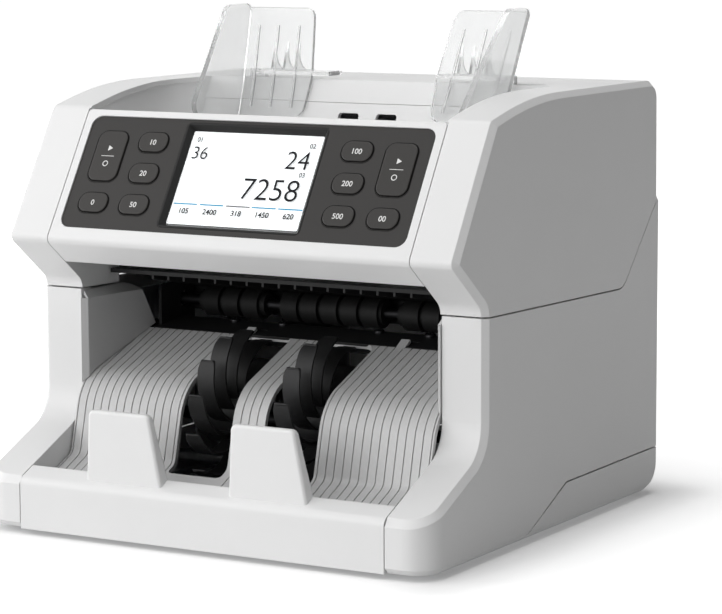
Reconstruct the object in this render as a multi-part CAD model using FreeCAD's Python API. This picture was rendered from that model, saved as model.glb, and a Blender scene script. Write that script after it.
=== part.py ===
import FreeCAD, Part
import math
import os

V = FreeCAD.Vector

# Casing: x to the right, y to the rear, z up; the origin lies on the table under the middle
WIDTH = 244.8
DEPTH = 238.4
CASE_TOP = 208.3
CASE_BOTTOM = 2.5
WALL = 2.5
EDGE_BEVEL = 2.8
RIM_WIDTH = 3.7
FOOT_CORNER_RADIUS = 14.0
REAR_BOTTOM_RADIUS = 14.0
REAR_TOP_RADIUS = 9.0
BOTTOM_EDGE_RADIUS = 1.5
UPPER_REAR_SETBACK = 2.5
UPPER_REAR_LEAN = 0.9
HALF = WIDTH / 2
FRONT = -DEPTH / 2
REAR = DEPTH / 2
INNER_HALF = HALF - WALL

# Clearances
FIT = 0.3
RUN = 0.05
PRESS = 0.02
SEAM_GAP = 0.35
COVER_GAP = 0.45

# Front of the casing: foot, cheeks, pillars, notch and sloping panel
FOOT_HEIGHT = 26.6
CHEEK_WIDTH = 22.8
CHEEK_SLOPE = math.radians(24.2)
CHEEK_RADIUS = 20.0
PILLAR_SETBACK = 52.6
NOTCH_BOTTOM = 115.2
NOTCH_RADIUS = 8.0
PANEL_ANGLE = math.radians(58.35)
PANEL_FOOT_SETBACK = 23.5
PANEL_FOOT_Z = 137.6
PANEL_TOP_Z = 198.9
LIP_RADIUS = 3.5
BROW_RADIUS = 4.0
TOP_BEND_SETBACK = 100.7
TOP_ARCH_RADIUS = 250.3
PILLAR_Y = FRONT + PILLAR_SETBACK
PANEL_FOOT_Y = FRONT + PANEL_FOOT_SETBACK
PANEL_TOP_Y = PANEL_FOOT_Y + (PANEL_TOP_Z - PANEL_FOOT_Z) / math.tan(PANEL_ANGLE)
CHEEK_BACK_Z = FOOT_HEIGHT + PILLAR_SETBACK * math.tan(CHEEK_SLOPE)
BAY_HALF = HALF - CHEEK_WIDTH

# Seams that split the casing
SEAM_FRONT_Z = 111.4
SEAM_FALL = 0.0195
SEAM_RISE_Z = 151.0
SEAM_CORNER_SETBACK = 43.0
SEAM_RADIUS = 12.0
LOW_SEAM_Z = 23.9
LOW_SEAM_KINK_SETBACK = 134.1
LOW_SEAM_FOOT_SETBACK = 87.8
LOW_SEAM_RADIUS = 6.0

# Front cover and keypad fascia, in the plane of the sloping panel
COVER_HALF = 98.8
COVER_LOWER_Z = 125.6
FASCIA_WIDTH = 188.3
FASCIA_HEIGHT = 59.4
FASCIA_RADIUS = 5.5
FASCIA_THICK = 2.0
FASCIA_SINK = 0.5
FASCIA_RISE = 7.9
KEY_WIDTH = 16.0
KEY_HEIGHT = 10.1
KEY_RADIUS = 4.6
KEY_GAP = 0.45
KEY_TRAVEL = 0.8
KEY_RISE = 0.7
KEY_EDGE_RADIUS = 0.55
TALL_KEY_WIDTH = 16.4
TALL_KEY_HEIGHT = 26.4
TALL_KEY_RISE = 38.3
KEY_FLANGE = 1.0
KEY_FLANGE_THICK = 1.0
KEY_COLUMN_INNER = 55.9
KEY_COLUMN_OUTER = 79.1
KEY_ROW_LOW = 13.6
KEY_ROW_PITCH = 16.5
DISPLAY_X = -0.9
DISPLAY_WIDTH = 71.9
DISPLAY_HEIGHT = 48.8
DISPLAY_RISE = 6.0
DISPLAY_BORDER = 3.0
DISPLAY_SINK = 2.6
GLASS_THICK = 1.2
BOARD_THICK = 1.6
BOARD_DROP = 5.0
BOARD_MARGIN = 4.0
KEY_STOP_GAP = 0.15
SWITCH_SIDE = 6.0
COVER_TOP_RUN = 71.1
COVER_CORNER_RADIUS = 2.0
COVER_ROOM_DEPTH = 6.0

# Hopper, feed plate and its rollers
HOPPER_HALF = 98.0
HOPPER_LIP = 0.8
HOPPER_RIM_THICK = 1.2
HOPPER_RIM_LEAN = 1.6
HOPPER_RIM_HEIGHT = 4.3
HOPPER_EDGE_Z = 193.0
HOPPER_BEND_RADIUS = 4.0
HOPPER_FLOOR_Z = 152.0
HOPPER_FLOOR_GAP = 7.0
FEED_LEAN = math.radians(24.0)
FEED_TOP_SETBACK = 165.4
FEED_SEAM_Z = 197.1
FEED_FOOT_Z = 139.0
FEED_THICK = 2.5
WINDOW_X = 10.8
WINDOW_WIDTH = 11.6
WINDOW_TOP_Z = 192.3
WINDOW_CORNER_RADIUS = 1.5
ROLLER_WIDTH = 10.0
ROLLER_PROUD = 1.2
PICKUP_RADIUS = 15.0
PICKUP_Z = 172.0
FEED_RADIUS = 17.0
FEED_Z = 140.5
SHAFT_RADIUS = 3.0
BEARER_X = 60.0
BEARER_THICK = 1.5

# Clear hopper guides on their racks
GUIDE_OUTER = 76.4
GUIDE_SPLAY = math.radians(5.5)
GUIDE_THICK = 2.8
GUIDE_PANEL_THICK = 2.0
GUIDE_INNER_FOOT = 36.6
GUIDE_INNER_BEND = 35.6
GUIDE_INNER_TOP = 40.6
GUIDE_FOOT_Z = 189.5
GUIDE_TOP_Z = 243.5
GUIDE_BEND_Z = 206.0
GUIDE_LEAN = math.radians(19.5)
GUIDE_CORNER_RADIUS = 6.0
GUIDE_FRONT_LEAN = math.radians(38.8)
GUIDE_FRONT_SETBACK = 115.0
GUIDE_FRONT_LOW_Z = 196.5
GUIDE_SIDE_FOOT_Z = 176.0
GUIDE_FRONT_RADIUS = 9.0
GUIDE_CREST = 1.8
GUIDE_RIB_X = (47.2, 59.5, 71.0)
GUIDE_RIB_FOOT_Z = 194.0
GUIDE_RIB_TOP_Z = 234.5
GUIDE_RIB_THICK = 0.9
GUIDE_RIB_HIGH = 1.2
GUSSET_X = (46.7, 53.3, 60.3)
GUSSET_TOP_Z = 226.0
GUSSET_DEPTH = 12.0
GUSSET_THICK = 1.4
GUIDE_BAR_INNER_LEFT = 26.0
GUIDE_BAR_INNER_RIGHT = 35.4
GUIDE_BAR_OUTER = 71.0
GUIDE_BAR_RISE = 1.7
GUIDE_BAR_HIGH = 2.2
GUIDE_BAR_DEPTH = 12.6
GUIDE_OUT_TRAVEL = 16.0
GUIDE_IN_TRAVEL = 18.0
POST_WIDTH = 9.0
POST_DEPTH = 3.4
POST_X = 71.0
RACK_HIGH = 4.0
RACK_BAR = 5.0
RACK_REACH = 22.0
RACK_DROP = 0.6
TOOTH_MODULE = 1.0
TOOTH_ADDENDUM = 0.8
TOOTH_DEDENDUM = 1.2
TOOTH_HALF = 0.62
TOOTH_SLANT = math.radians(20.0)
PINION_TEETH = 16
PINION_STUD = 2.5

# Hinge at the rear end of the seam
HINGE_Z = 151.4
HINGE_RADIUS = 2.4
HINGE_PIN_RADIUS = 1.2
HINGE_X = 70.0
HINGE_UPPER_LENGTH = 12.0
HINGE_LOWER_LENGTH = 8.0
HINGE_GAP = 0.4

# Stacker pocket: tray front with stops, grooved plate, walls and exit deck
LEDGE_DEPTH = 12.5
LEDGE_RADIUS = 2.0
TRAY_LIP_DROP = 14.0
STOP_X = (-42.7, 36.2)
STOP_FOOT_WIDTH = 42.2
STOP_TOP_WIDTH = 33.8
STOP_TOP_SHIFT = -3.3
STOP_TOP_Z = 61.8
STOP_FOOT_DEPTH = 8.0
STOP_TOP_DEPTH = 4.5
STOP_SETBACK = 4.0
STOP_LEAN = 1.0
STOP_EDGE_RADIUS = 1.6
STOP_CORNER_RADIUS = 3.0
PLATE_TOP_SETBACK = 99.6
PLATE_TOP_Z = 86.9
PLATE_SLOPE = math.radians(21.4)
PLATE_NOSE_SETBACK = 49.4
PLATE_NOSE_RADIUS = 25.0
PLATE_FACE_LEAN = math.radians(76.0)
PLATE_CORNER_Z = 32.4
PLATE_CORNER_RADIUS = 5.0
PLATE_FLOOR_SLOPE = math.radians(24.6)
PLATE_FOOT_SETBACK = 13.4
PLATE_THICK = 2.2
PLATE_SIDE_GAP = 0.7
GROOVE_PITCH = 4.45
GROOVE_WIDTH = 0.6
GROOVE_DEPTH = 0.7
SLOT_INNER = 8.9
SLOT_OUTER = 38.4
SLOT_TOP_SETBACK = 100.0
SLOT_OUTER_RADIUS = 6.5
SLOT_INNER_RADIUS = 2.5
TAB_SPANS = ((-37.2, -32.5), (49.0, 53.7))
TAB_THICK = 1.6
TAB_REACH = 5.6
TAB_SLOPE = math.radians(30.0)
SLOT_FOOT_SETBACK = 34.0
WALL_FRONT_INSET = 2.9
WALL_REAR_INSET = 8.6
WALL_REAR_SETBACK = 104.5
WALL_FRONT_SETBACK = 51.5
WALL_THICK = 2.2
WALL_BEVEL = 2.6
WALL_TOP_Z = 106.6
WALL_FLANGE_Z = 110.4
WALL_TOP_REAR_SETBACK = 92.0
WALL_TOP_RADIUS = 9.0
DECK_SIDE_GAP = 0.8
DECK_FRONT_SETBACK = 100.0
DECK_FRONT_Z = 87.1
DECK_REAR_SETBACK = 126.0
DECK_FLANGE_DROP = 12.0
DECK_HOLE_RADIUS = 1.7
DECK_REAR_Z = 90.2
DECK_THICK = 1.6
DECK_NOTCH_DEPTH = 6.0
DECK_MARK_X = (-31.5, 54.0)
DECK_SCREW_SETBACK = 121.4
DECK_SCREW_X = (27.4, 55.5)
EAR_THICK = 1.6
EAR_TOP_Z = 107.6

# Stacker wheels and exit rollers
STACKER_SETBACK = 75.4
STACKER_Z = 51.0
STACKER_X = 23.6
STACKER_RADIUS = 42.8
STACKER_HUB_RADIUS = 13.0
STACKER_HUB_WIDTH = 24.0
BLADE_COUNT = 14
BLADE_WIDTH = 9.0
BLADE_THICK = 1.3
BLADE_BOW = 8.0
BLADE_SWEEP = math.radians(48.0)
BLADE_TIP_RADIUS = 3.5
EXIT_SETBACK = 126.0
EXIT_Z = 98.6
EXIT_RADIUS = 7.6
EXIT_CORE_RADIUS = 5.6
EXIT_SPANS = ((-76.0, -38.0), (-28.8, 28.8), (38.0, 76.0))
EXIT_RING_PITCH = 11.4
EXIT_RING_WIDTH = 9.2

# Frames, drive and electrics inside the lower unit
FRAME_INSET = 15.7
FRAME_FLANGE = 12.0
FRAME_WINDOW_LOW_Z = 16.0
FRAME_WINDOW_TOP_Z = 52.0
FRAME_WINDOW_RADIUS = 5.0
FRAME_THICK = 1.5
FRAME_TOP_Z = 105.0
FRAME_FRONT_SETBACK = 61.0
FRAME_REAR_SETBACK = 204.0
BUSH_RADIUS = 5.0
BUSH_FLANGE_RADIUS = 7.0
BUSH_FLANGE_THICK = 1.0
PULLEY_WIDTH = 7.0
PULLEY_FLANGE = 1.6
PULLEY_RIM = 0.8
STACKER_PULLEY_RADIUS = 12.0
EXIT_PULLEY_RADIUS = 9.0
MOTOR_PULLEY_RADIUS = 6.0
BELT_THICK = 1.2
BELT_WIDTH = 4.6
MOTOR_SETBACK = 180.0
MOTOR_Z = 45.0
MOTOR_RADIUS = 18.0
MOTOR_LENGTH = 48.0
MOTOR_SHAFT_RADIUS = 2.0
MOTOR_SHAFT_GRIP = 8.0
MOTOR_BOSS_RADIUS = 7.0
BAR_RADIUS = 3.0
CROSS_BARS = ((118.0, 20.0), (132.0, 66.0), (164.0, 98.0))
BASE_SINK = 1.0
BASE_THICK = 1.5
FOOT_RADIUS = 8.0
FOOT_INSET_X = 22.0
FOOT_INSET_Y = 24.0
FOOT_STUD_RADIUS = 3.0
SCREW_HEAD_RADIUS = 2.6
SCREW_HEAD_THICK = 1.6
SCREW_SHANK_RADIUS = 1.4
SCREW_SHANK_LENGTH = 5.0
SUPPLY_SIZE = (60.0, 44.0, 30.0)
SUPPLY_SIDE_GAP = 2.2
SUPPLY_SETBACK = 158.0
MAIN_BOARD_DEPTH = 70.0
MAIN_BOARD_SETBACK = 132.0
MAIN_BOARD_LEFT_GAP = 5.0
MAIN_BOARD_RIGHT_GAP = 7.2
MAIN_BOARD_GAP = 9.0
INLET_INSET = 50.4
INLET_Z = 58.0
INLET_WIDTH = 30.0
INLET_HEIGHT = 46.0
INLET_DEPTH = 22.0
SOCKET_WIDTH = 24.6
SOCKET_HEIGHT = 17.0
SOCKET_DEPTH = 17.0
PIN_LENGTH = 12.0
PIN_SPACING = 7.0
ROCKER_WIDTH = 12.0
ROCKER_TILT = 9.0
ROCKER_REACH = 9.4
ROCKER_INSET = 7.0
ROCKER_RISE = 11.0
SOCKET_DROP = 10.0
SENSOR_GAP = 1.2
SENSOR_BAR_SETBACK = 10.0
SENSOR_BAR_DEPTH = 22.0
SENSOR_BAR_DROP = 6.5
SENSOR_BAR_RISE = 6.0
SENSOR_BAR_LIFT = 1.4
SENSOR_WINDOW = 8.0
SENSOR_WINDOW_X = (20.0, 60.0)

# Upper guide over the exit rollers
GUIDE_CEILING_Z = 117.0
CEILING_THICK = 2.0
FIN_PITCH = 9.0
FIN_THICK = 1.2
FIN_CLEARANCE = 1.4

# Places that follow from the sizes above
PLATE_HALF = BAY_HALF - PLATE_SIDE_GAP
WALL_FRONT_HALF = BAY_HALF - WALL_FRONT_INSET
WALL_REAR_HALF = BAY_HALF - WALL_REAR_INSET
DECK_HALF = WALL_REAR_HALF - DECK_SIDE_GAP
FRAME_X = INNER_HALF - FRAME_INSET
FLANGE_X = FRAME_X - FRAME_FLANGE
INLET_X = -HALF + INLET_INSET
SUPPLY_LEFT = -FLANGE_X + SUPPLY_SIDE_GAP
MAIN_BOARD_LEFT = SUPPLY_LEFT + SUPPLY_SIZE[0] + MAIN_BOARD_LEFT_GAP
MAIN_BOARD_WIDTH = FLANGE_X - MAIN_BOARD_RIGHT_GAP - MAIN_BOARD_LEFT
STACKER_Y = FRONT + STACKER_SETBACK
EXIT_Y = FRONT + EXIT_SETBACK
MOTOR_Y = FRONT + MOTOR_SETBACK
FRAME_FOOT_Z = CASE_BOTTOM + BASE_SINK + BASE_THICK
SHAFT_PLACES = ((STACKER_Y, STACKER_Z), (EXIT_Y, EXIT_Z))
CROSS_BAR_PLACES = tuple((FRONT + setback, z) for setback, z in CROSS_BARS)
ROCKER_AXIS_Y = REAR - ROCKER_INSET
ROCKER_AXIS_Z = INLET_Z + ROCKER_RISE
SOCKET_Z = INLET_Z - SOCKET_DROP
FASCIA_TOP = -FASCIA_SINK
FASCIA_BACK = FASCIA_TOP - FASCIA_THICK
FASCIA_RUN = FASCIA_RISE + FASCIA_HEIGHT / 2
DISPLAY_RUN = FASCIA_RISE + DISPLAY_RISE + DISPLAY_HEIGHT / 2
GLASS_TOP = FASCIA_TOP - DISPLAY_SINK
BOARD_TOP = FASCIA_BACK - BOARD_DROP
SWITCH_HIGH = BOARD_DROP - RUN - KEY_FLANGE_THICK - KEY_TRAVEL - KEY_STOP_GAP


def tangent_corner(before, corner, after, radius):
    """Start, middle and end of the arc that rounds a corner."""
    back = (before - corner).normalize()
    ahead = (after - corner).normalize()
    half_angle = math.acos(max(-1.0, min(1.0, back.dot(ahead)))) / 2
    reach = radius / math.tan(half_angle)
    inward = (back + ahead).normalize()
    middle = corner + inward * (radius / math.sin(half_angle) - radius)
    return corner + back * reach, middle, corner + ahead * reach


def rounded_wire(corners, place):
    """Closed wire through corners given as (a, b) or (a, b, radius)."""
    points = [place(c[0], c[1]) for c in corners]
    stops = []
    for i, c in enumerate(corners):
        before, here, after = points[i - 1], points[i], points[(i + 1) % len(points)]
        if len(c) > 2 and c[2] > 0:
            stops.append(tangent_corner(before, here, after, c[2]))
        else:
            stops.append((here, None, here))
    edges = []
    for i, (start, middle, end) in enumerate(stops):
        if middle is not None:
            edges.append(Part.Arc(start, middle, end).toShape())
        following = stops[(i + 1) % len(stops)][0]
        if (following - end).Length > 1e-6:
            edges.append(Part.LineSegment(end, following).toShape())
    return Part.Wire(edges)


def side_prism(corners, x0, x1):
    """Solid with a side-view outline of (y, z) corners, from x0 to x1."""
    wire = rounded_wire(corners, lambda y, z: V(x0, y, z))
    return Part.Face(wire).extrude(V(x1 - x0, 0, 0))


def plan_prism(corners, z0, z1):
    """Solid with a plan outline of (x, y) corners, from z0 to z1."""
    wire = rounded_wire(corners, lambda x, y: V(x, y, z0))
    return Part.Face(wire).extrude(V(0, 0, z1 - z0))


def front_prism(corners, y0, y1):
    """Solid with a front-view outline of (x, z) corners, from y0 to y1."""
    wire = rounded_wire(corners, lambda x, z: V(x, y0, z))
    return Part.Face(wire).extrude(V(0, y1 - y0, 0))


def box(x0, x1, y0, y1, z0, z1):
    """Box between two corners."""
    return Part.makeBox(x1 - x0, y1 - y0, z1 - z0, V(x0, y0, z0))


def rod(x0, x1, y, z, radius):
    """Round bar along x."""
    return Part.makeCylinder(radius, x1 - x0, V(x0, y, z), V(1, 0, 0))


def post(x, y, z0, z1, radius):
    """Round bar along z."""
    return Part.makeCylinder(radius, z1 - z0, V(x, y, z0), V(0, 0, 1))


def fused(shapes):
    """One clean solid from overlapping pieces."""
    whole = shapes[0].fuse(shapes[1:]) if len(shapes) > 1 else shapes[0]
    return whole.removeSplitter()


def cut(shape, tools):
    """The shape with every tool taken away."""
    return shape.cut(Part.makeCompound(tools))


def biggest(shape):
    """The largest solid of a shape."""
    return max(shape.Solids, key=lambda s: s.Volume)


def mirrored(shape):
    """The piece on the other side of the middle plane."""
    return shape.mirror(V(0, 0, 0), V(1, 0, 0))


def rounded_rect(width, height, radius):
    """Corners of a rectangle centred on the origin."""
    w, h = width / 2, height / 2
    return [(-w, -h, radius), (w, -h, radius), (w, h, radius), (-w, h, radius)]


def casing_outline(inset=0.0):
    """Side view of the casing; inset moves every wall inwards."""
    lean = math.tan(PANEL_ANGLE / 2)
    panel_shift = inset / math.sin(PANEL_ANGLE)
    panel_foot_z = PANEL_FOOT_Z + inset
    panel_foot_y = PANEL_FOOT_Y + panel_shift + inset / math.tan(PANEL_ANGLE)
    panel_top_z = PANEL_TOP_Z - inset
    panel_top_y = PANEL_TOP_Y + panel_shift - inset / math.tan(PANEL_ANGLE)
    foot_z = FOOT_HEIGHT - inset * lean
    cheek_z = CHEEK_BACK_Z - inset
    return [
        (FRONT + inset, CASE_BOTTOM + inset),
        (FRONT + inset, foot_z),
        (PILLAR_Y + inset, cheek_z, CHEEK_RADIUS + inset),
        (PILLAR_Y + inset, NOTCH_BOTTOM + inset / 2, NOTCH_RADIUS + inset),
        (panel_foot_y, panel_foot_z, max(LIP_RADIUS - inset, 0.5)),
        (panel_top_y, panel_top_z, max(BROW_RADIUS - inset, 0.5)),
        (FRONT + TOP_BEND_SETBACK, CASE_TOP - inset, TOP_ARCH_RADIUS - inset),
        (REAR - UPPER_REAR_SETBACK - UPPER_REAR_LEAN - inset, CASE_TOP - inset, REAR_TOP_RADIUS - inset),
        (REAR - UPPER_REAR_SETBACK - inset, SEAM_RISE_Z - inset),
        (REAR - inset, SEAM_RISE_Z - inset),
        (REAR - inset, CASE_BOTTOM + inset, REAR_BOTTOM_RADIUS - inset),
    ]


def is_outline_edge(edge):
    """Edges of the side faces and of the foot's top front get the bevel."""
    middle = edge.CenterOfMass
    bounds = edge.BoundBox
    if bounds.ZMax < CASE_BOTTOM + 0.1:
        return False
    on_side = abs(abs(middle.x) - HALF) < 1e-6 and bounds.XLength < 1e-6
    rounded_y = FRONT + FOOT_CORNER_RADIUS
    is_corner_line = abs(middle.y - rounded_y) < 0.5 and bounds.YLength < 1e-3
    if on_side and is_corner_line and middle.z < FOOT_HEIGHT + FOOT_CORNER_RADIUS:
        return False
    on_nose = middle.y < rounded_y and middle.z > FOOT_HEIGHT - 2
    return on_side or on_nose


def casing_block():
    """Outer form of the whole casing, with bevelled edges."""
    block = side_prism(casing_outline(), -HALF, HALF)
    corners = [e for e in block.Edges
               if abs(abs(e.CenterOfMass.x) - HALF) < 1e-6 and abs(e.CenterOfMass.y - FRONT) < 1e-6]
    block = block.makeFillet(FOOT_CORNER_RADIUS, corners)
    block = block.makeChamfer(EDGE_BEVEL, [e for e in block.Edges if is_outline_edge(e)])
    low = [e for e in block.Edges if e.BoundBox.ZMax < CASE_BOTTOM + 0.1]
    return block.makeFillet(BOTTOM_EDGE_RADIUS, low)


def casing_hollow():
    """Room inside the casing walls, open at the bottom."""
    hollow = side_prism(casing_outline(WALL), -INNER_HALF, INNER_HALF)
    rim_half, rim_corner = HALF - RIM_WIDTH, FOOT_CORNER_RADIUS - RIM_WIDTH
    rim_front, rim_rear = FRONT + RIM_WIDTH, REAR - REAR_BOTTOM_RADIUS
    below = plan_prism([(-rim_half, rim_front, rim_corner), (rim_half, rim_front, rim_corner),
                        (rim_half, rim_rear), (-rim_half, rim_rear)], 0, CASE_BOTTOM + 2 * WALL)
    corner = FOOT_CORNER_RADIUS - WALL
    plan = [(-INNER_HALF, FRONT + WALL, corner), (INNER_HALF, FRONT + WALL, corner),
            (INNER_HALF, REAR + WALL), (-INNER_HALF, REAR + WALL)]
    return hollow.fuse(below).common(plan_prism(plan, -1, CASE_TOP + 1))


def seam_line(shift):
    """Corners of the seam between the two units, moved up by shift."""
    corner_y = REAR - SEAM_CORNER_SETBACK
    corner_z = SEAM_FRONT_Z - SEAM_FALL * (corner_y - PILLAR_Y)
    rear_y = REAR + 20
    slope = (SEAM_RISE_Z - corner_z) / (REAR - UPPER_REAR_SETBACK - corner_y)
    front_z = SEAM_FRONT_Z + SEAM_FALL * (PILLAR_Y - (FRONT - 20))
    return [
        (FRONT - 20, front_z + shift),
        (corner_y, corner_z + shift, SEAM_RADIUS),
        (rear_y, corner_z + slope * (rear_y - corner_y) + shift),
    ]


def above_seam():
    """Everything that belongs to the upper unit."""
    line = seam_line(SEAM_GAP)
    top = CASE_TOP + 60
    return side_prism(line + [(REAR + 20, top), (FRONT - 20, top)], -HALF - 5, HALF + 5)


def below_seam():
    """Everything that belongs to the lower unit."""
    line = seam_line(-SEAM_GAP)
    return side_prism(line + [(REAR + 20, -10), (FRONT - 20, -10)], -HALF - 5, HALF + 5)


def below_low_seam(shift):
    """Room of the base rear cover, under the low seam."""
    corners = [
        (FRONT + LOW_SEAM_FOOT_SETBACK - shift, CASE_BOTTOM - 10),
        (FRONT + LOW_SEAM_FOOT_SETBACK - shift, CASE_BOTTOM),
        (FRONT + LOW_SEAM_KINK_SETBACK - shift, LOW_SEAM_Z - 0.9 + shift, LOW_SEAM_RADIUS),
        (REAR + 20, LOW_SEAM_Z + shift),
        (REAR + 20, CASE_BOTTOM - 10),
    ]
    return side_prism(corners, -HALF - 5, HALF + 5)


def bay_floor(extra=0.0):
    """Room in front, between the two cheeks, that the tray front fills."""
    half = BAY_HALF + extra
    return box(-half, half, FRONT - 5, PILLAR_Y + 1, CASE_BOTTOM - 5, CHEEK_BACK_Z + 40)


def bay_opening():
    """Room between the pillars, from the tray up to the cover."""
    return box(-BAY_HALF, BAY_HALF, FRONT - 5, PILLAR_Y + 20, FOOT_HEIGHT, COVER_LOWER_Z + 30)


def hinge_knuckle(x0, x1):
    """Barrel round the hinge pin."""
    return rod(x0, x1, REAR - UPPER_REAR_SETBACK, HINGE_Z, HINGE_RADIUS)


def hinge_spans(side):
    """Lower, upper and lower knuckle of one hinge."""
    middle = side * HINGE_X
    inner = HINGE_UPPER_LENGTH / 2
    outer = inner + HINGE_GAP + HINGE_LOWER_LENGTH
    return [(middle - outer, middle - inner - HINGE_GAP), (middle - inner, middle + inner),
            (middle + inner + HINGE_GAP, middle + outer)]


def lower_knuckles():
    """Knuckles on the lower casing's rear wall, each on a short web."""
    pieces = []
    for side in (-1, 1):
        left, _, right = hinge_spans(side)
        for x0, x1 in (left, right):
            web = box(x0, x1, REAR - WALL, REAR, SEAM_RISE_Z - 12, HINGE_Z - 0.5)
            pieces.append(hinge_knuckle(x0, x1).fuse(web))
    return pieces


def upper_knuckles():
    """Knuckles on the upper casing's rear wall."""
    y = REAR - UPPER_REAR_SETBACK
    pieces = []
    for side in (-1, 1):
        x0, x1 = hinge_spans(side)[1]
        web = box(x0, x1, y - WALL, y, HINGE_Z, HINGE_Z + 9)
        pieces.append(hinge_knuckle(x0, x1).fuse(web))
    return pieces


def hinge_bore():
    """Holes for the hinge pins."""
    length = HINGE_UPPER_LENGTH + 2 * HINGE_LOWER_LENGTH + 4
    y = REAR - UPPER_REAR_SETBACK
    return [rod(side * HINGE_X - length / 2, side * HINGE_X + length / 2, y, HINGE_Z,
                HINGE_PIN_RADIUS + RUN) for side in (-1, 1)]


def hinge_relief(lower):
    """Room round the other unit's knuckles."""
    y = REAR - UPPER_REAR_SETBACK
    clear = HINGE_RADIUS + 2 * FIT
    rooms = []
    for side in (-1, 1):
        spans = hinge_spans(side)
        for x0, x1 in ([spans[1]] if lower else [spans[0], spans[2]]):
            rooms.append(rod(x0 - HINGE_GAP, x1 + HINGE_GAP, y, HINGE_Z, clear))
            if not lower:
                rooms.append(box(x0 - HINGE_GAP, x1 + HINGE_GAP, y - clear, REAR + 1,
                                 HINGE_Z - 6, HINGE_Z))
    return rooms


def hinge_pins():
    """Two steel pins that join the units."""
    y = REAR - UPPER_REAR_SETBACK
    half = HINGE_UPPER_LENGTH / 2 + HINGE_GAP + HINGE_LOWER_LENGTH
    return Part.makeCompound([rod(side * HINGE_X - half, side * HINGE_X + half, y, HINGE_Z,
                                  HINGE_PIN_RADIUS) for side in (-1, 1)])


def inlet_hole(extra=0.0):
    """Cut-out in the rear wall for the inlet module."""
    w, h = INLET_WIDTH / 2 + extra, INLET_HEIGHT / 2 + extra
    return box(INLET_X - w, INLET_X + w, REAR - WALL - 1, REAR + 1, INLET_Z - h, INLET_Z + h)


def lower_casing(block, hollow):
    """Side shells with pillars and cheeks, joined by the rear wall."""
    returns = []
    for side in (-1, 1):
        x0, x1 = sorted((side * BAY_HALF, side * (BAY_HALF + WALL)))
        returns.append(box(x0, x1, FRONT, PILLAR_Y + 8, FRAME_FOOT_Z + FIT, CASE_TOP))
    shell = block.cut(cut(hollow, returns)).common(below_seam())
    shell = cut(shell, [bay_floor(), bay_opening(), below_low_seam(SEAM_GAP)])
    shell = fused([shell] + lower_knuckles())
    shell = cut(shell, hinge_relief(True) + hinge_bore() + [inlet_hole(COVER_GAP)])
    return biggest(shell)


def base_rear_cover(block, hollow):
    """Rear part of the base, under the low seam."""
    shell = block.cut(hollow).common(below_low_seam(-SEAM_GAP)).common(below_seam())
    return biggest(shell)


def base_plate():
    """Steel bottom plate that carries the frames."""
    edge = HALF - RIM_WIDTH - FIT
    front_y = FRONT + RIM_WIDTH + FIT
    corner = FOOT_CORNER_RADIUS - RIM_WIDTH
    z0 = CASE_BOTTOM + BASE_SINK
    plan = [(-edge, front_y, corner), (edge, front_y, corner),
            (edge, REAR - WALL - REAR_BOTTOM_RADIUS), (-edge, REAR - WALL - REAR_BOTTOM_RADIUS)]
    plate = plan_prism(plan, z0, z0 + BASE_THICK)
    holes = [post(x, y, z0 - 1, z0 + BASE_THICK + 1, FOOT_STUD_RADIUS + RUN) for x, y in foot_places()]
    return cut(plate, holes)


def foot_places():
    """Plan positions of the four feet."""
    x = HALF - FOOT_INSET_X
    return [(sx * x, y) for sx in (-1, 1) for y in (FRONT + FOOT_INSET_Y, REAR - FOOT_INSET_Y)]


def rubber_feet():
    """Four feet, each with a stud through the base."""
    top = CASE_BOTTOM + BASE_SINK + BASE_THICK
    feet = []
    for x, y in foot_places():
        pad = post(x, y, 0, CASE_BOTTOM + BASE_SINK, FOOT_RADIUS)
        rim = [e for e in pad.Edges if e.BoundBox.ZMax < 0.01]
        feet.append(pad.makeFillet(0.6, rim).fuse(post(x, y, CASE_BOTTOM - 0.5, top, FOOT_STUD_RADIUS)))
    return Part.makeCompound([f.removeSplitter() for f in feet])


def strip_outline(points, thick):
    """Corners of a plate bent along points (y, z, radius), thickened to the right of its run."""
    lines = []
    for (y0, z0, _), (y1, z1, _) in zip(points, points[1:]):
        length = math.hypot(y1 - y0, z1 - z0)
        lines.append((y0, z0, (y1 - y0) / length, (z1 - z0) / length))
    far = []
    for i, (y, z, radius) in enumerate(points):
        before = lines[max(i - 1, 0)]
        after = lines[min(i, len(lines) - 1)]
        turn = before[2] * after[3] - before[3] * after[2]
        normal_y = before[3] + after[3]
        normal_z = -(before[2] + after[2])
        scale = thick / (1 + before[2] * after[2] + before[3] * after[3])
        inner = radius + thick if turn > 0 else radius - thick
        far.append((y + normal_y * scale, z + normal_z * scale, max(inner, 0) if radius else 0))
    return list(points) + far[::-1]


def tray_front():
    """Front of the stacker pocket with its ledge and the two stops."""
    ledge_y = FRONT + LEDGE_DEPTH
    ledge_z = FOOT_HEIGHT + LEDGE_DEPTH * math.tan(CHEEK_SLOPE)
    lip_z = ledge_z - TRAY_LIP_DROP
    run = [(FRONT, CASE_BOTTOM, 0), (FRONT, FOOT_HEIGHT, LEDGE_RADIUS), (ledge_y, ledge_z, LEDGE_RADIUS),
           (ledge_y + LEDGE_RADIUS / 2, lip_z, 0)]
    run = [(y, z, r + WALL if r and i == 1 else r) for i, (y, z, r) in enumerate(run)]
    half = BAY_HALF - COVER_GAP
    skin = side_prism(strip_outline(run, WALL), -half, half)
    end = [(FRONT + WALL / 2, lip_z), (FRONT + WALL / 2, FOOT_HEIGHT - WALL / 2),
           (ledge_y - WALL / 2, ledge_z - WALL / 2), (ledge_y - WALL / 2, lip_z)]
    ends = [side_prism(end, x, x + WALL) for x in (-half, half - WALL)]
    return fused([skin] + ends + [tray_stop(x) for x in STOP_X])


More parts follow.
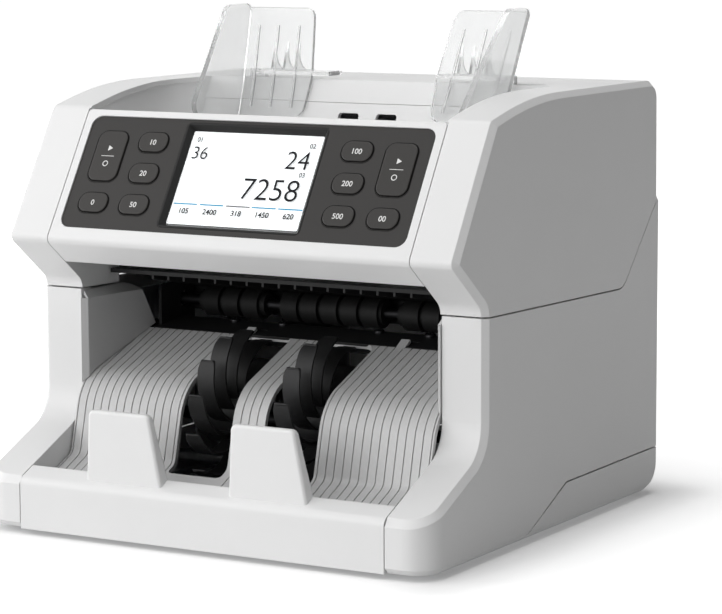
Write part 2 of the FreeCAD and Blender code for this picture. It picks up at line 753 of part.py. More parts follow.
def tray_stop(x):
    """One upright stop that the counted sheets lean on."""
    front_y = FRONT + STOP_SETBACK
    foot_z = FOOT_HEIGHT + STOP_SETBACK * math.tan(CHEEK_SLOPE) - 1.0
    side = [(front_y, foot_z), (front_y + STOP_LEAN, STOP_TOP_Z),
            (front_y + STOP_LEAN + STOP_TOP_DEPTH, STOP_TOP_Z), (front_y + STOP_FOOT_DEPTH, foot_z + 3.0)]
    foot, top = STOP_FOOT_WIDTH / 2, STOP_TOP_WIDTH / 2
    middle = x + STOP_TOP_SHIFT
    face = [(x - foot, foot_z), (x + foot, foot_z), (middle + top, STOP_TOP_Z, STOP_CORNER_RADIUS),
            (middle - top, STOP_TOP_Z, STOP_CORNER_RADIUS)]
    stop = side_prism(side, x - foot, x + foot).common(front_prism(face, FRONT, FRONT + 30))
    broad = [f for f in stop.Faces if abs(f.normalAt(0, 0).y) > 0.9]
    rims = [e for f in broad for e in f.Edges if e.BoundBox.ZMax > foot_z + 5]
    return stop.makeFillet(STOP_EDGE_RADIUS, rims)


def plate_run(lift=0.0):
    """Side line of the grooved plate from the deck down to the pocket floor."""
    top_y = FRONT + PLATE_TOP_SETBACK
    nose_y = FRONT + PLATE_NOSE_SETBACK
    nose_z = PLATE_TOP_Z - (top_y - nose_y) * math.tan(PLATE_SLOPE)
    corner_y = nose_y - (nose_z - PLATE_CORNER_Z) / math.tan(PLATE_FACE_LEAN)
    foot_y = FRONT + PLATE_FOOT_SETBACK
    foot_z = PLATE_CORNER_Z - (corner_y - foot_y) * math.tan(PLATE_FLOOR_SLOPE)
    return [(foot_y, foot_z + lift, 0), (corner_y - lift, PLATE_CORNER_Z + lift, PLATE_CORNER_RADIUS),
            (nose_y - lift, nose_z + lift, PLATE_NOSE_RADIUS), (top_y, PLATE_TOP_Z + lift, 0)]


def tray_plate():
    """Grooved plate of the stacker pocket with slots for the wheels."""
    plate = side_prism(strip_outline(plate_run(), PLATE_THICK), -PLATE_HALF, PLATE_HALF)
    groove = strip_outline(plate_run(), GROOVE_DEPTH)
    grooves = []
    count = int(PLATE_HALF / GROOVE_PITCH)
    for i in range(-count, count + 1):
        x = i * GROOVE_PITCH
        if not SLOT_INNER - 1 < abs(x) < SLOT_OUTER + 1:
            grooves.append(side_prism(groove, x - GROOVE_WIDTH / 2, x + GROOVE_WIDTH / 2))
    slots = []
    foot_y, top_y = FRONT + SLOT_FOOT_SETBACK, FRONT + SLOT_TOP_SETBACK
    for side in (-1, 1):
        inner, outer = side * SLOT_INNER, side * SLOT_OUTER
        slot = [(inner, foot_y, SLOT_INNER_RADIUS), (outer, foot_y, SLOT_INNER_RADIUS),
                (outer, top_y, SLOT_OUTER_RADIUS), (inner, top_y, SLOT_INNER_RADIUS)]
        slots.append(plan_prism(slot, 0, CASE_TOP))
    plate = biggest(cut(plate, slots + grooves))
    root_y, root_z = plate_run()[-1][:2]
    tab = [(root_y - 1.0, root_z - math.tan(PLATE_SLOPE), 0), (root_y, root_z, 0),
           (root_y + TAB_REACH, root_z + TAB_REACH * math.tan(TAB_SLOPE), 0)]
    return fused([plate] + [side_prism(strip_outline(tab, TAB_THICK), x0, x1) for x0, x1 in TAB_SPANS])


def tray_wall_right():
    """Side wall of the stacker pocket, narrowing towards the deck, its top edge turned outwards."""
    front_y = FRONT + WALL_FRONT_SETBACK
    rear_y = FRONT + WALL_REAR_SETBACK
    outer = BAY_HALF - FIT
    plan = [(outer, front_y), (WALL_FRONT_HALF, front_y + WALL_BEVEL, 1.0), (WALL_REAR_HALF, rear_y),
            (WALL_REAR_HALF + WALL_THICK, rear_y), (outer, front_y + 3 * WALL_BEVEL)]
    wall = plan_prism(plan, PLATE_CORNER_Z, WALL_TOP_Z)
    sections = []
    for y, inner in ((front_y + WALL_BEVEL, WALL_FRONT_HALF), (rear_y, WALL_REAR_HALF)):
        corners = [V(inner, y, WALL_TOP_Z - WALL_THICK), V(outer, y, WALL_FLANGE_Z - WALL_THICK),
                   V(outer, y, WALL_FLANGE_Z), V(inner, y, WALL_TOP_Z)]
        sections.append(Part.makePolygon(corners + corners[:1]))
    wall = fused([wall, Part.makeLoft(sections, True, True)])
    arch_y = FRONT + WALL_TOP_REAR_SETBACK
    side = [(front_y - 1, PLATE_CORNER_Z), (front_y - 1, WALL_FLANGE_Z),
            (arch_y, WALL_FLANGE_Z, WALL_TOP_RADIUS), (rear_y, PLATE_TOP_Z), (rear_y, PLATE_CORNER_Z)]
    wall = wall.common(side_prism(side, 0, HALF))
    run = plate_run(FIT)
    rear_rise = (rear_y + 5 - run[-1][0]) * math.tan(PLATE_SLOPE)
    below = run[:-1] + [(rear_y + 5, run[-1][1] + rear_rise), (rear_y + 5, 0), (run[0][0], 0)]
    return biggest(cut(wall, [side_prism(below, 0, HALF)]))


def deck_height(y):
    """Top of the exit deck at a depth."""
    front_y, rear_y = FRONT + DECK_FRONT_SETBACK, FRONT + DECK_REAR_SETBACK
    return DECK_FRONT_Z + (DECK_REAR_Z - DECK_FRONT_Z) * (y - front_y) / (rear_y - front_y)


def exit_deck():
    """Black deck in front of the exit rollers, with upright ears at its ends."""
    front_y, rear_y = FRONT + DECK_FRONT_SETBACK, FRONT + DECK_REAR_SETBACK
    run = [(front_y, DECK_FRONT_Z, 0), (rear_y, DECK_REAR_Z, 2.0),
           (rear_y, DECK_REAR_Z - DECK_FLANGE_DROP, 0)]
    deck = side_prism(strip_outline(run, DECK_THICK), -DECK_HALF, DECK_HALF)
    pieces = [deck]
    ear_y0, ear_y1 = FRONT + WALL_REAR_SETBACK + 2 * FIT, EXIT_Y + EXIT_RADIUS + 1.5
    foot_z = deck_height(ear_y0) - DECK_THICK
    for side in (-1, 1):
        x0, x1 = sorted((side * (DECK_HALF - EAR_THICK), side * DECK_HALF))
        ear = [(ear_y0, foot_z), (ear_y0, EAR_TOP_Z, 3.0), (ear_y1, EAR_TOP_Z, 3.0), (ear_y1, foot_z)]
        pieces.append(side_prism(ear, x0, x1))
        x0, x1 = sorted((side * (DECK_HALF - 2 * EAR_THICK), side * (FRAME_X - FRAME_THICK)))
        pieces.append(box(x0, x1, EXIT_Y - 12, EXIT_Y - 4, foot_z - 3, foot_z + DECK_THICK))
    deck = fused(pieces)
    tools = [rod(-HALF, HALF, EXIT_Y, EXIT_Z, SHAFT_RADIUS + 1.0)]
    for x0, x1 in TAB_SPANS:
        notch_y = front_y + DECK_NOTCH_DEPTH
        notch = [(x0 - FIT, front_y - 1), (x1 + FIT, front_y - 1), (x1 + FIT, notch_y, 1.0),
                 (x0 - FIT, notch_y, 1.0)]
        tools.append(plan_prism(notch, DECK_FRONT_Z - 5, DECK_FRONT_Z + 5))
    for x in DECK_MARK_X:
        tools.append(box(x - 2.0, x + 2.0, front_y + 9, front_y + 10.6, DECK_FRONT_Z - 3, DECK_REAR_Z))
    for x in deck_screw_xs():
        tools.append(post(x, FRONT + DECK_SCREW_SETBACK, DECK_FRONT_Z - 5, DECK_REAR_Z + 5, DECK_HOLE_RADIUS))
    return biggest(cut(deck, tools))


def deck_screw_xs():
    """Places of the deck screws along x."""
    return [side * x for x in DECK_SCREW_X for side in (-1, 1)]


def screws():
    """Domed screws of the exit deck."""
    y = FRONT + DECK_SCREW_SETBACK
    tilt = math.degrees(math.atan2(deck_height(y + 1) - deck_height(y), 1.0))
    pieces = []
    for x in deck_screw_xs():
        head = post(0, 0, 0, SCREW_HEAD_THICK, SCREW_HEAD_RADIUS)
        rim = [e for e in head.Edges if e.BoundBox.ZMin > SCREW_HEAD_THICK - 0.01]
        head = head.makeFillet(SCREW_HEAD_THICK * 0.6, rim)
        screw = head.fuse(post(0, 0, -SCREW_SHANK_LENGTH, 0.1, SCREW_SHANK_RADIUS))
        slots = [box(-0.35, 0.35, -1.4, 1.4, 0.9, 3), box(-1.4, 1.4, -0.35, 0.35, 0.9, 3)]
        screw = screw.cut(Part.makeCompound(slots)).removeSplitter()
        screw.rotate(V(0, 0, 0), V(1, 0, 0), tilt)
        screw.translate(V(x, y, deck_height(y)))
        pieces.append(screw)
    return Part.makeCompound(pieces)


def frame_outline():
    """Side view of the steel frames."""
    front_y, rear_y = FRONT + FRAME_FRONT_SETBACK, FRONT + FRAME_REAR_SETBACK
    return [(front_y, FRAME_FOOT_Z), (front_y, 66.0, 6.0), (EXIT_Y - 20, FRAME_TOP_Z, 8.0),
            (EXIT_Y + 48, FRAME_TOP_Z, 8.0), (rear_y, 74.0, 8.0), (rear_y, FRAME_FOOT_Z)]


def side_frame(side):
    """Steel side frame with its foot flange and bearing holes."""
    x0, x1 = sorted((side * (FRAME_X - FRAME_THICK), side * FRAME_X))
    flange_x0, flange_x1 = sorted((side * FLANGE_X, side * FRAME_X))
    flange = box(flange_x0, flange_x1, FRONT + FRAME_FRONT_SETBACK, FRONT + FRAME_REAR_SETBACK,
                 FRAME_FOOT_Z, FRAME_FOOT_Z + FRAME_THICK)
    frame = fused([side_prism(frame_outline(), x0, x1), flange])
    holes = [rod(-HALF, HALF, y, z, BUSH_RADIUS + PRESS) for y, z in SHAFT_PLACES]
    y0, y1 = EXIT_Y + 8, EXIT_Y + 32
    window = [(y0, FRAME_WINDOW_LOW_Z), (y1, FRAME_WINDOW_LOW_Z), (y1, FRAME_WINDOW_TOP_Z),
              (y0, FRAME_WINDOW_TOP_Z)]
    holes.append(side_prism([(y, z, FRAME_WINDOW_RADIUS) for y, z in window], -HALF, HALF))
    if side > 0:
        holes.append(rod(-HALF, HALF, MOTOR_Y, MOTOR_Z, MOTOR_BOSS_RADIUS + PRESS))
    return cut(frame, holes)


def cross_bars():
    """Round bars that hold the two frames apart."""
    half = FRAME_X - FRAME_THICK
    return Part.makeCompound([rod(-half, half, y, z, BAR_RADIUS) for y, z in CROSS_BAR_PLACES])


def shaft_bushes():
    """Four flanged bushes that carry the stacker and exit shafts."""
    bushes = []
    for side in (-1, 1):
        inner, outer = side * (FRAME_X - FRAME_THICK), side * FRAME_X
        flange = side * (FRAME_X + BUSH_FLANGE_THICK)
        for y, z in SHAFT_PLACES:
            x0, x1 = sorted((inner, flange))
            bush = rod(x0, x1, y, z, BUSH_RADIUS)
            x0, x1 = sorted((outer, flange))
            bush = bush.fuse(rod(x0, x1, y, z, BUSH_FLANGE_RADIUS)).removeSplitter()
            bushes.append(bush.cut(rod(-HALF, HALF, y, z, SHAFT_RADIUS + RUN)))
    return Part.makeCompound(bushes)


def lower_shaft(place):
    """Steel shaft through both frames to its pulley."""
    y, z = place
    x1 = FRAME_X + BUSH_FLANGE_THICK + FIT + PULLEY_WIDTH + FIT
    return rod(-FRAME_X - BUSH_FLANGE_THICK - 1.5, x1, y, z, SHAFT_RADIUS)


def pulley(place, radius, bore):
    """Flanged belt pulley outside the right frame."""
    y, z = place
    x0 = FRAME_X + BUSH_FLANGE_THICK + FIT
    x1 = x0 + PULLEY_WIDTH
    body = rod(x0, x1, y, z, radius)
    rims = [rod(x0, x0 + PULLEY_RIM, y, z, radius + PULLEY_FLANGE),
            rod(x1 - PULLEY_RIM, x1, y, z, radius + PULLEY_FLANGE)]
    wheel = fused([body] + rims)
    return wheel.cut(rod(x0 - 1, x1 + 1, y, z, bore)) if bore else wheel


def motor_pulley():
    """Motor pulley together with the motor's shaft."""
    place = (MOTOR_Y, MOTOR_Z)
    wheel = pulley(place, MOTOR_PULLEY_RADIUS, 0)
    shaft = rod(FRAME_X - FRAME_THICK - MOTOR_SHAFT_GRIP, FRAME_X + BUSH_FLANGE_THICK + PULLEY_WIDTH,
                MOTOR_Y, MOTOR_Z, MOTOR_SHAFT_RADIUS)
    return fused([wheel, shaft])


def drive_motor():
    """Round motor on the inside of the right frame."""
    face = FRAME_X - FRAME_THICK
    body = rod(face - MOTOR_LENGTH, face, MOTOR_Y, MOTOR_Z, MOTOR_RADIUS)
    boss = rod(face - 1, FRAME_X, MOTOR_Y, MOTOR_Z, MOTOR_BOSS_RADIUS)
    cap = rod(face - MOTOR_LENGTH - 3, face - MOTOR_LENGTH + 1, MOTOR_Y, MOTOR_Z, MOTOR_RADIUS / 2)
    motor = fused([body, boss, cap])
    bore = rod(face - MOTOR_SHAFT_GRIP - 1, FRAME_X + 1, MOTOR_Y, MOTOR_Z, MOTOR_SHAFT_RADIUS + RUN)
    return motor.cut(bore)


def belt_ring(extra, x0, x1):
    """Filled loop round the three pulleys, extra outside their running faces."""
    wheels = [(MOTOR_Y, MOTOR_Z, MOTOR_PULLEY_RADIUS + extra), (EXIT_Y, EXIT_Z, EXIT_PULLEY_RADIUS + extra),
              (STACKER_Y, STACKER_Z, STACKER_PULLEY_RADIUS + extra)]
    angles = []
    for (y0, z0, r0), (y1, z1, r1) in zip(wheels, wheels[1:] + wheels[:1]):
        distance = math.hypot(y1 - y0, z1 - z0)
        angles.append(math.atan2(z1 - z0, y1 - y0) - math.acos((r0 - r1) / distance))
    edges = []
    for i, (y, z, r) in enumerate(wheels):
        start, end = angles[i - 1], angles[i]
        turn = (end - start) % (2 * math.pi)
        points = [V(x0, y + r * math.cos(a), z + r * math.sin(a)) for a in (start, start + turn / 2, end)]
        edges.append(Part.Arc(*points).toShape())
        y1, z1, r1 = wheels[(i + 1) % 3]
        ahead = V(x0, y1 + r1 * math.cos(end), z1 + r1 * math.sin(end))
        edges.append(Part.LineSegment(points[2], ahead).toShape())
    return Part.Face(Part.Wire(edges)).extrude(V(x1 - x0, 0, 0))


def drive_belt():
    """Belt round the motor, exit and stacker pulleys."""
    middle = FRAME_X + BUSH_FLANGE_THICK + FIT + PULLEY_WIDTH / 2
    x0, x1 = middle - BELT_WIDTH / 2, middle + BELT_WIDTH / 2
    return belt_ring(FIT + BELT_THICK, x0, x1).cut(belt_ring(FIT, x0 - 1, x1 + 1))


def blade(x0, x1, angle):
    """One curved finger of a stacker wheel."""
    def spot(radius, turn):
        return V(x0, STACKER_Y + radius * math.cos(turn), STACKER_Z + radius * math.sin(turn))
    root = spot(STACKER_HUB_RADIUS - 1.5, angle)
    tip = spot(STACKER_RADIUS - BLADE_THICK, angle - BLADE_SWEEP)
    chord = (tip - root).normalize()
    side = V(0, -chord.z, chord.y)
    outward = V(0, (root.y + tip.y) / 2 - STACKER_Y, (root.z + tip.z) / 2 - STACKER_Z)
    side = side if side.dot(outward) > 0 else side * -1
    middle = (root + tip) * 0.5 + side * BLADE_BOW
    half = side * (BLADE_THICK / 2)
    edges = [Part.Arc(root + half, middle + half, tip + half).toShape(),
             Part.Arc(tip + half, tip + chord * (BLADE_THICK / 2), tip - half).toShape(),
             Part.Arc(tip - half, middle - half, root - half).toShape(),
             Part.LineSegment(root - half, root + half).toShape()]
    return Part.Face(Part.Wire(edges)).extrude(V(x1 - x0, 0, 0))


def stacker_wheel(x):
    """Stacker wheel: a hub with one ring of curved fingers, their tips rounded off."""
    half = STACKER_HUB_WIDTH / 2
    x0, x1 = x - BLADE_WIDTH / 2, x + BLADE_WIDTH / 2
    step = 2 * math.pi / BLADE_COUNT
    core = rod(x0, x1, STACKER_Y, STACKER_Z, STACKER_HUB_RADIUS)
    fingers = fused([core] + [blade(x0, x1, i * step) for i in range(BLADE_COUNT)])
    reach = rod(x0, x1, STACKER_Y, STACKER_Z, STACKER_RADIUS)
    rims = [e for e in reach.Edges if e.BoundBox.XLength < 1e-6]
    fingers = fingers.common(reach.makeFillet(BLADE_TIP_RADIUS, rims))
    wheel = fused([fingers, rod(x - half, x + half, STACKER_Y, STACKER_Z, STACKER_HUB_RADIUS)])
    return wheel.cut(rod(x - half - 1, x + half + 1, STACKER_Y, STACKER_Z, SHAFT_RADIUS + PRESS))


def exit_rollers():
    """Ribbed rollers on the exit shaft."""
    rollers = []
    for x0, x1 in EXIT_SPANS:
        pieces = [rod(x0, x1, EXIT_Y, EXIT_Z, EXIT_CORE_RADIUS)]
        count = int((x1 - x0) / EXIT_RING_PITCH)
        start = (x0 + x1 - (count - 1) * EXIT_RING_PITCH) / 2
        for i in range(count):
            x = start + i * EXIT_RING_PITCH
            pieces.append(rod(x - EXIT_RING_WIDTH / 2, x + EXIT_RING_WIDTH / 2, EXIT_Y, EXIT_Z, EXIT_RADIUS))
        roller = fused(pieces)
        rollers.append(roller.cut(rod(x0 - 1, x1 + 1, EXIT_Y, EXIT_Z, SHAFT_RADIUS + PRESS)))
    return Part.makeCompound(rollers)


def lower_sensor_bar():
    """Black sensor bar behind the exit rollers, on tabs at the frames."""
    y0 = EXIT_Y + SENSOR_BAR_SETBACK
    y1 = y0 + SENSOR_BAR_DEPTH
    top_z = EXIT_Z + SENSOR_BAR_RISE
    foot_z = EXIT_Z - SENSOR_BAR_DROP
    outline = [(y0, foot_z), (y0, top_z, 2.0), (y1, top_z + SENSOR_BAR_LIFT, 1.0), (y1, foot_z)]
    bar = side_prism(outline, -DECK_HALF - SENSOR_GAP, DECK_HALF + SENSOR_GAP)
    face = FRAME_X - FRAME_THICK
    tabs = box(-face, face, y1 - 10, y1 - 2, EXIT_Z - 4, EXIT_Z)
    half = SENSOR_WINDOW / 2
    windows = [box(side * x - half, side * x + half, y0 + 6, y0 + 12, EXIT_Z + 4, top_z + 4)
               for x in SENSOR_WINDOW_X for side in (-1, 1)]
    return cut(fused([bar, tabs]), windows)


def power_supply():
    """Boxed power supply on the base plate."""
    length, depth, high = SUPPLY_SIZE
    x0, y0 = SUPPLY_LEFT, FRONT + SUPPLY_SETBACK
    case = box(x0, x0 + length, y0, y0 + depth, FRAME_FOOT_Z, FRAME_FOOT_Z + high)
    case = case.makeChamfer(1.0, [e for e in case.Edges if e.BoundBox.ZMin > FRAME_FOOT_Z + high - 0.1])
    slots = [box(x0 + 8 + i * 5, x0 + 10.5 + i * 5, y0 + 8, y0 + depth - 8, FRAME_FOOT_Z + high - 2, CASE_TOP)
             for i in range(9)]
    return cut(case, slots)


def main_board():
    """Control board of the lower unit on four pillars, with its larger components."""
    width, depth = MAIN_BOARD_WIDTH, MAIN_BOARD_DEPTH
    x0, y0 = MAIN_BOARD_LEFT, FRONT + MAIN_BOARD_SETBACK
    z0 = FRAME_FOOT_Z + MAIN_BOARD_GAP
    z1 = z0 + BOARD_THICK
    pieces = [box(x0, x0 + width, y0, y0 + depth, z0, z1)]
    for x in (x0 + 6, x0 + width - 6):
        for y in (y0 + 6, y0 + depth - 6):
            pieces.append(post(x, y, FRAME_FOOT_Z, z0 + 0.5, 3.0))
    parts = ((12, 14, 22, 22, 2.0), (44, 18, 14, 14, 1.6), (72, 10, 26, 9, 9.0), (12, 50, 30, 8, 8.0),
             (60, 44, 16, 16, 6.0))
    for dx, dy, wide, deep, high in parts:
        pieces.append(box(x0 + dx, x0 + dx + wide, y0 + dy, y0 + dy + deep, z1 - 0.1, z1 + high))
    return fused(pieces)


def inlet_module():
    """Rear inlet with three flat pins and a well for the power switch."""
    half_w, half_h = INLET_WIDTH / 2, INLET_HEIGHT / 2
    body = box(INLET_X - half_w, INLET_X + half_w, REAR - INLET_DEPTH, REAR,
               INLET_Z - half_h, INLET_Z + half_h)
    w, h = SOCKET_WIDTH / 2, SOCKET_HEIGHT / 2
    socket = front_prism([(INLET_X - w, SOCKET_Z - h, 1.5), (INLET_X + w, SOCKET_Z - h, 1.5),
                          (INLET_X + w, SOCKET_Z + h - 5), (INLET_X + w - 5, SOCKET_Z + h),
                          (INLET_X - w + 5, SOCKET_Z + h), (INLET_X - w, SOCKET_Z + h - 5)],
                         REAR - SOCKET_DEPTH, REAR + 1)
    well_w = ROCKER_WIDTH / 2 + FIT
    well = box(INLET_X - well_w, INLET_X + well_w, ROCKER_AXIS_Y - 8, REAR + 1,
               ROCKER_AXIS_Z - ROCKER_REACH - 2 * FIT, ROCKER_AXIS_Z + ROCKER_REACH + 2 * FIT)
    hub = rod(INLET_X - well_w - 1.2, INLET_X + well_w + 1.2, ROCKER_AXIS_Y, ROCKER_AXIS_Z, 1.5 + RUN)
    body = cut(body, [socket, well, hub])
    pins = []
    for dx, dz in ((-PIN_SPACING, -2.0), (0, 2.0), (PIN_SPACING, -2.0)):
        x, z = INLET_X + dx, SOCKET_Z + dz
        pins.append(box(x - 1.0, x + 1.0, REAR - SOCKET_DEPTH - 1, REAR - SOCKET_DEPTH + PIN_LENGTH,
                        z - 2.0, z + 2.0))
    return fused([body] + pins)


def power_switch():
    """Rocker of the power switch, at rest with its lower half out."""
    face = [(-4.0, -6.5, 1.0), (2.6, -8.8, 1.0), (4.6, 0, 14.0), (2.6, 8.8, 1.0), (-4.0, 6.5, 1.0)]
    outline = [(ROCKER_AXIS_Y + c[0], ROCKER_AXIS_Z + c[1], c[2]) for c in face]
    rocker = side_prism(outline, INLET_X - ROCKER_WIDTH / 2, INLET_X + ROCKER_WIDTH / 2)
    axle = rod(INLET_X - ROCKER_WIDTH / 2 - 1.0, INLET_X + ROCKER_WIDTH / 2 + 1.0, ROCKER_AXIS_Y,
               ROCKER_AXIS_Z, 1.5)
    rocker = fused([rocker, axle])
    rocker.rotate(V(INLET_X, ROCKER_AXIS_Y, ROCKER_AXIS_Z), V(1, 0, 0), ROCKER_TILT)
    return rocker


def feed_face_y(z):
    """Depth of the feed plate's front face at a height."""
    return FRONT + FEED_TOP_SETBACK - (CASE_TOP - z) * math.tan(FEED_LEAN)


def hopper_floor():
    """Side view of the hopper's floor, which starts with a rim behind the cover's top edge."""
    back = WALL + COVER_GAP
    rim_front = panel_point(COVER_TOP_RUN, back)
    rim_rear = panel_point(COVER_TOP_RUN, back + HOPPER_RIM_THICK)
    rim_foot = panel_point(COVER_TOP_RUN - HOPPER_RIM_HEIGHT, back)
    floor_y = feed_face_y(HOPPER_FLOOR_Z) - HOPPER_FLOOR_GAP / math.cos(FEED_LEAN)
    ramp = [(rim_rear[0] + HOPPER_RIM_LEAN, HOPPER_EDGE_Z, 0), (floor_y, HOPPER_FLOOR_Z, 0)]
    bend, low, low_under, bend_under = strip_outline(ramp, WALL)
    return [rim_front, rim_rear, (bend[0], bend[1], HOPPER_BEND_RADIUS), low, low_under, bend_under, rim_foot]


def hopper_walls():
    """Side walls, floor and rear lip of the hopper, inside the upper casing."""
    floor = hopper_floor()
    inner, outer = HOPPER_HALF + HOPPER_LIP, HOPPER_HALF + HOPPER_LIP + WALL
    high_z, low_z = CASE_TOP + WALL, HOPPER_FLOOR_Z - WALL
    step = WALL / math.cos(FEED_LEAN)
    side = [panel_point(COVER_TOP_RUN - HOPPER_RIM_HEIGHT, 0), (floor[0][0], high_z),
            (feed_face_y(high_z) + step, high_z), (feed_face_y(low_z) + step, low_z), floor[4], floor[5]]
    within = side_prism(casing_outline(WALL / 2), -HALF, HALF)
    walls = [side_prism(side, inner, outer).common(within), side_prism(side, -outer, -inner).common(within)]
    walls.append(side_prism(floor, -outer, outer))
    lip_low, lip_high = FEED_SEAM_Z + 0.2, CASE_TOP - 0.5
    lip = [(feed_face_y(lip_low), lip_low, 0), (feed_face_y(lip_high), lip_high, 0)]
    walls.append(side_prism(strip_outline(lip, WALL), -inner - WALL / 2, inner + WALL / 2))
    return walls


def hopper_room():
    """Space of the hopper that is cut from the casing top."""
    mouth_out, mouth_in = panel_point(COVER_TOP_RUN, -COVER_ROOM_DEPTH), hopper_floor()[0]
    high_z = CASE_TOP + 20
    slant = 20.0 * math.tan(FEED_LEAN)
    low_z = HOPPER_EDGE_Z - 3.0
    outline = [mouth_in, mouth_out, (mouth_out[0], high_z), (feed_face_y(CASE_TOP) + slant, high_z),
               (feed_face_y(low_z), low_z)]
    return side_prism(outline, -HOPPER_HALF, HOPPER_HALF)


def panel_point(run, depth):
    """Side-view point on the sloping panel: run up from its foot, depth inwards."""
    along_y, along_z = math.cos(PANEL_ANGLE), math.sin(PANEL_ANGLE)
    return (PANEL_FOOT_Y + run * along_y + depth * along_z, PANEL_FOOT_Z + run * along_z - depth * along_y)


def soffit_point(depth):
    """Side-view point on the lip's underside at the cover's lower edge, depth inwards."""
    run_y, run_z = PANEL_FOOT_Y - PILLAR_Y, PANEL_FOOT_Z - NOTCH_BOTTOM
    length = math.hypot(run_y, run_z)
    share = (COVER_LOWER_Z - NOTCH_BOTTOM) / run_z
    y, z = PILLAR_Y + share * run_y, COVER_LOWER_Z
    return (y + depth * run_z / length, z - depth * run_y / length)


def cover_room(gap):
    """Region of the front cover, round the lip from underneath up to the hopper's mouth."""
    top_run = COVER_TOP_RUN - gap
    knee_run = COVER_TOP_RUN - HOPPER_RIM_HEIGHT - FIT
    top_out, top_in = panel_point(top_run, -COVER_ROOM_DEPTH), panel_point(top_run, WALL + COVER_GAP)
    knee_out, knee_in = panel_point(knee_run, WALL + COVER_GAP), panel_point(knee_run, COVER_ROOM_DEPTH)
    low_out, low_in = soffit_point(-5), soffit_point(6)
    if gap:
        low_out = (low_out[0] - gap, low_out[1] + gap)
        low_in = (low_in[0] - gap, low_in[1] + gap)
    half = COVER_HALF - gap
    room = side_prism([low_out, low_in, knee_in, knee_out, top_in, top_out, (FRONT - 20, top_out[1]),
                       (FRONT - 20, soffit_point(-5)[1])], -half, half)
    if not gap:
        return room
    corners = [e for e in room.Edges if abs(abs(e.CenterOfMass.x) - half) < 1e-6
               and abs(e.CenterOfMass.y - (top_in[0] + top_out[0]) / 2) < 0.01]
    return room.makeFillet(COVER_CORNER_RADIUS, corners)


def mouth_room():
    """Opening of the upper unit over the stacker pocket."""
    low_out, low_in = soffit_point(-5), soffit_point(6)
    rear_y = PILLAR_Y + 20
    outline = [(FRONT - 20, 90.0), (rear_y, 90.0), (rear_y, low_in[1]), low_in, low_out,
               (FRONT - 20, low_out[1])]
    return side_prism(outline, -COVER_HALF, COVER_HALF)


def guide_slots():
    """Slots in the casing top for the guides' posts."""
    slots = []
    y = post_y()
    for side in (-1, 1):
        inner = POST_X - POST_WIDTH / 2 - GUIDE_IN_TRAVEL - 2 * FIT
        outer = POST_X + POST_WIDTH / 2 + GUIDE_OUT_TRAVEL + 2 * FIT
        x0, x1 = sorted((side * inner, side * outer))
        half = POST_DEPTH / 2 + 2 * FIT
        slots.append(plan_prism([(x0, y - half, 1.5), (x1, y - half, 1.5), (x1, y + half, 1.5),
                                 (x0, y + half, 1.5)], CASE_TOP - WALL - 1, CASE_TOP + 1))
    return slots


def post_y():
    """Depth of the guides' posts."""
    return feed_face_y(CASE_TOP) + WALL + 3.2


PINION_Y = post_y() - POST_DEPTH / 2 + RACK_BAR + TOOTH_MODULE * PINION_TEETH / 2 - 0.2
RACK_TOP_Z = CASE_TOP - WALL - RACK_DROP


def pinion_stud():
    """Stud with a washer head under the casing top, for the guides' pinion."""
    low = RACK_TOP_Z - RACK_HIGH - FIT
    return [post(0, PINION_Y, low - 1.5, CASE_TOP - WALL / 2, PINION_STUD),
            post(0, PINION_Y, low - 1.5, low, PINION_STUD + 2)]


def upper_casing(block, hollow):
    """Upper shell with the hopper, the cheeks beside the mouth and the hinge knuckles."""
    returns = []
    for side in (-1, 1):
        x0, x1 = sorted((side * COVER_HALF, side * (COVER_HALF + WALL)))
        returns.append(box(x0, x1, FRONT, PILLAR_Y + 31, 90, COVER_LOWER_Z + 9))
    shell = block.cut(cut(hollow, returns)).common(above_seam())
    shell = fused([shell] + hopper_walls() + upper_knuckles() + pinion_stud())
    tools = [hopper_room(), mouth_room(), cover_room(0.0)] + guide_slots()
    shell = cut(shell, tools + hinge_relief(False) + hinge_bore())
    return biggest(shell)


def on_panel(shape):
    """Moves a piece from flat coordinates (x, run, out) onto the sloping panel."""
    placed = shape.copy()
    placed.rotate(V(0, 0, 0), V(1, 0, 0), math.degrees(PANEL_ANGLE))
    placed.translate(V(0, PANEL_FOOT_Y, PANEL_FOOT_Z))
    return placed


def slab(width, height, radius, x, run, out0, out1):
    """Flat rounded slab in panel coordinates, centred on (x, run)."""
    corners = [(cx + x, cy + run, r) for cx, cy, r in rounded_rect(width, height, radius)]
    return plan_prism(corners, out0, out1)


def key_table():
    """Name, x, run, width and height of every key."""
    rows = {"bottom": KEY_ROW_LOW, "middle": KEY_ROW_LOW + KEY_ROW_PITCH,
            "top": KEY_ROW_LOW + 2 * KEY_ROW_PITCH}
    keys = []
    for word, side in (("left", -1), ("right", 1)):
        for row, rise in rows.items():
            keys.append(("key_%s_%s" % (word, row), side * KEY_COLUMN_INNER, FASCIA_RISE + rise,
                         KEY_WIDTH, KEY_HEIGHT))
        keys.append(("key_%s_outer" % word, side * KEY_COLUMN_OUTER, FASCIA_RISE + KEY_ROW_LOW,
                     KEY_WIDTH, KEY_HEIGHT))
        keys.append(("key_%s_tall" % word, side * KEY_COLUMN_OUTER, FASCIA_RISE + TALL_KEY_RISE,
                     TALL_KEY_WIDTH, TALL_KEY_HEIGHT))
    return keys


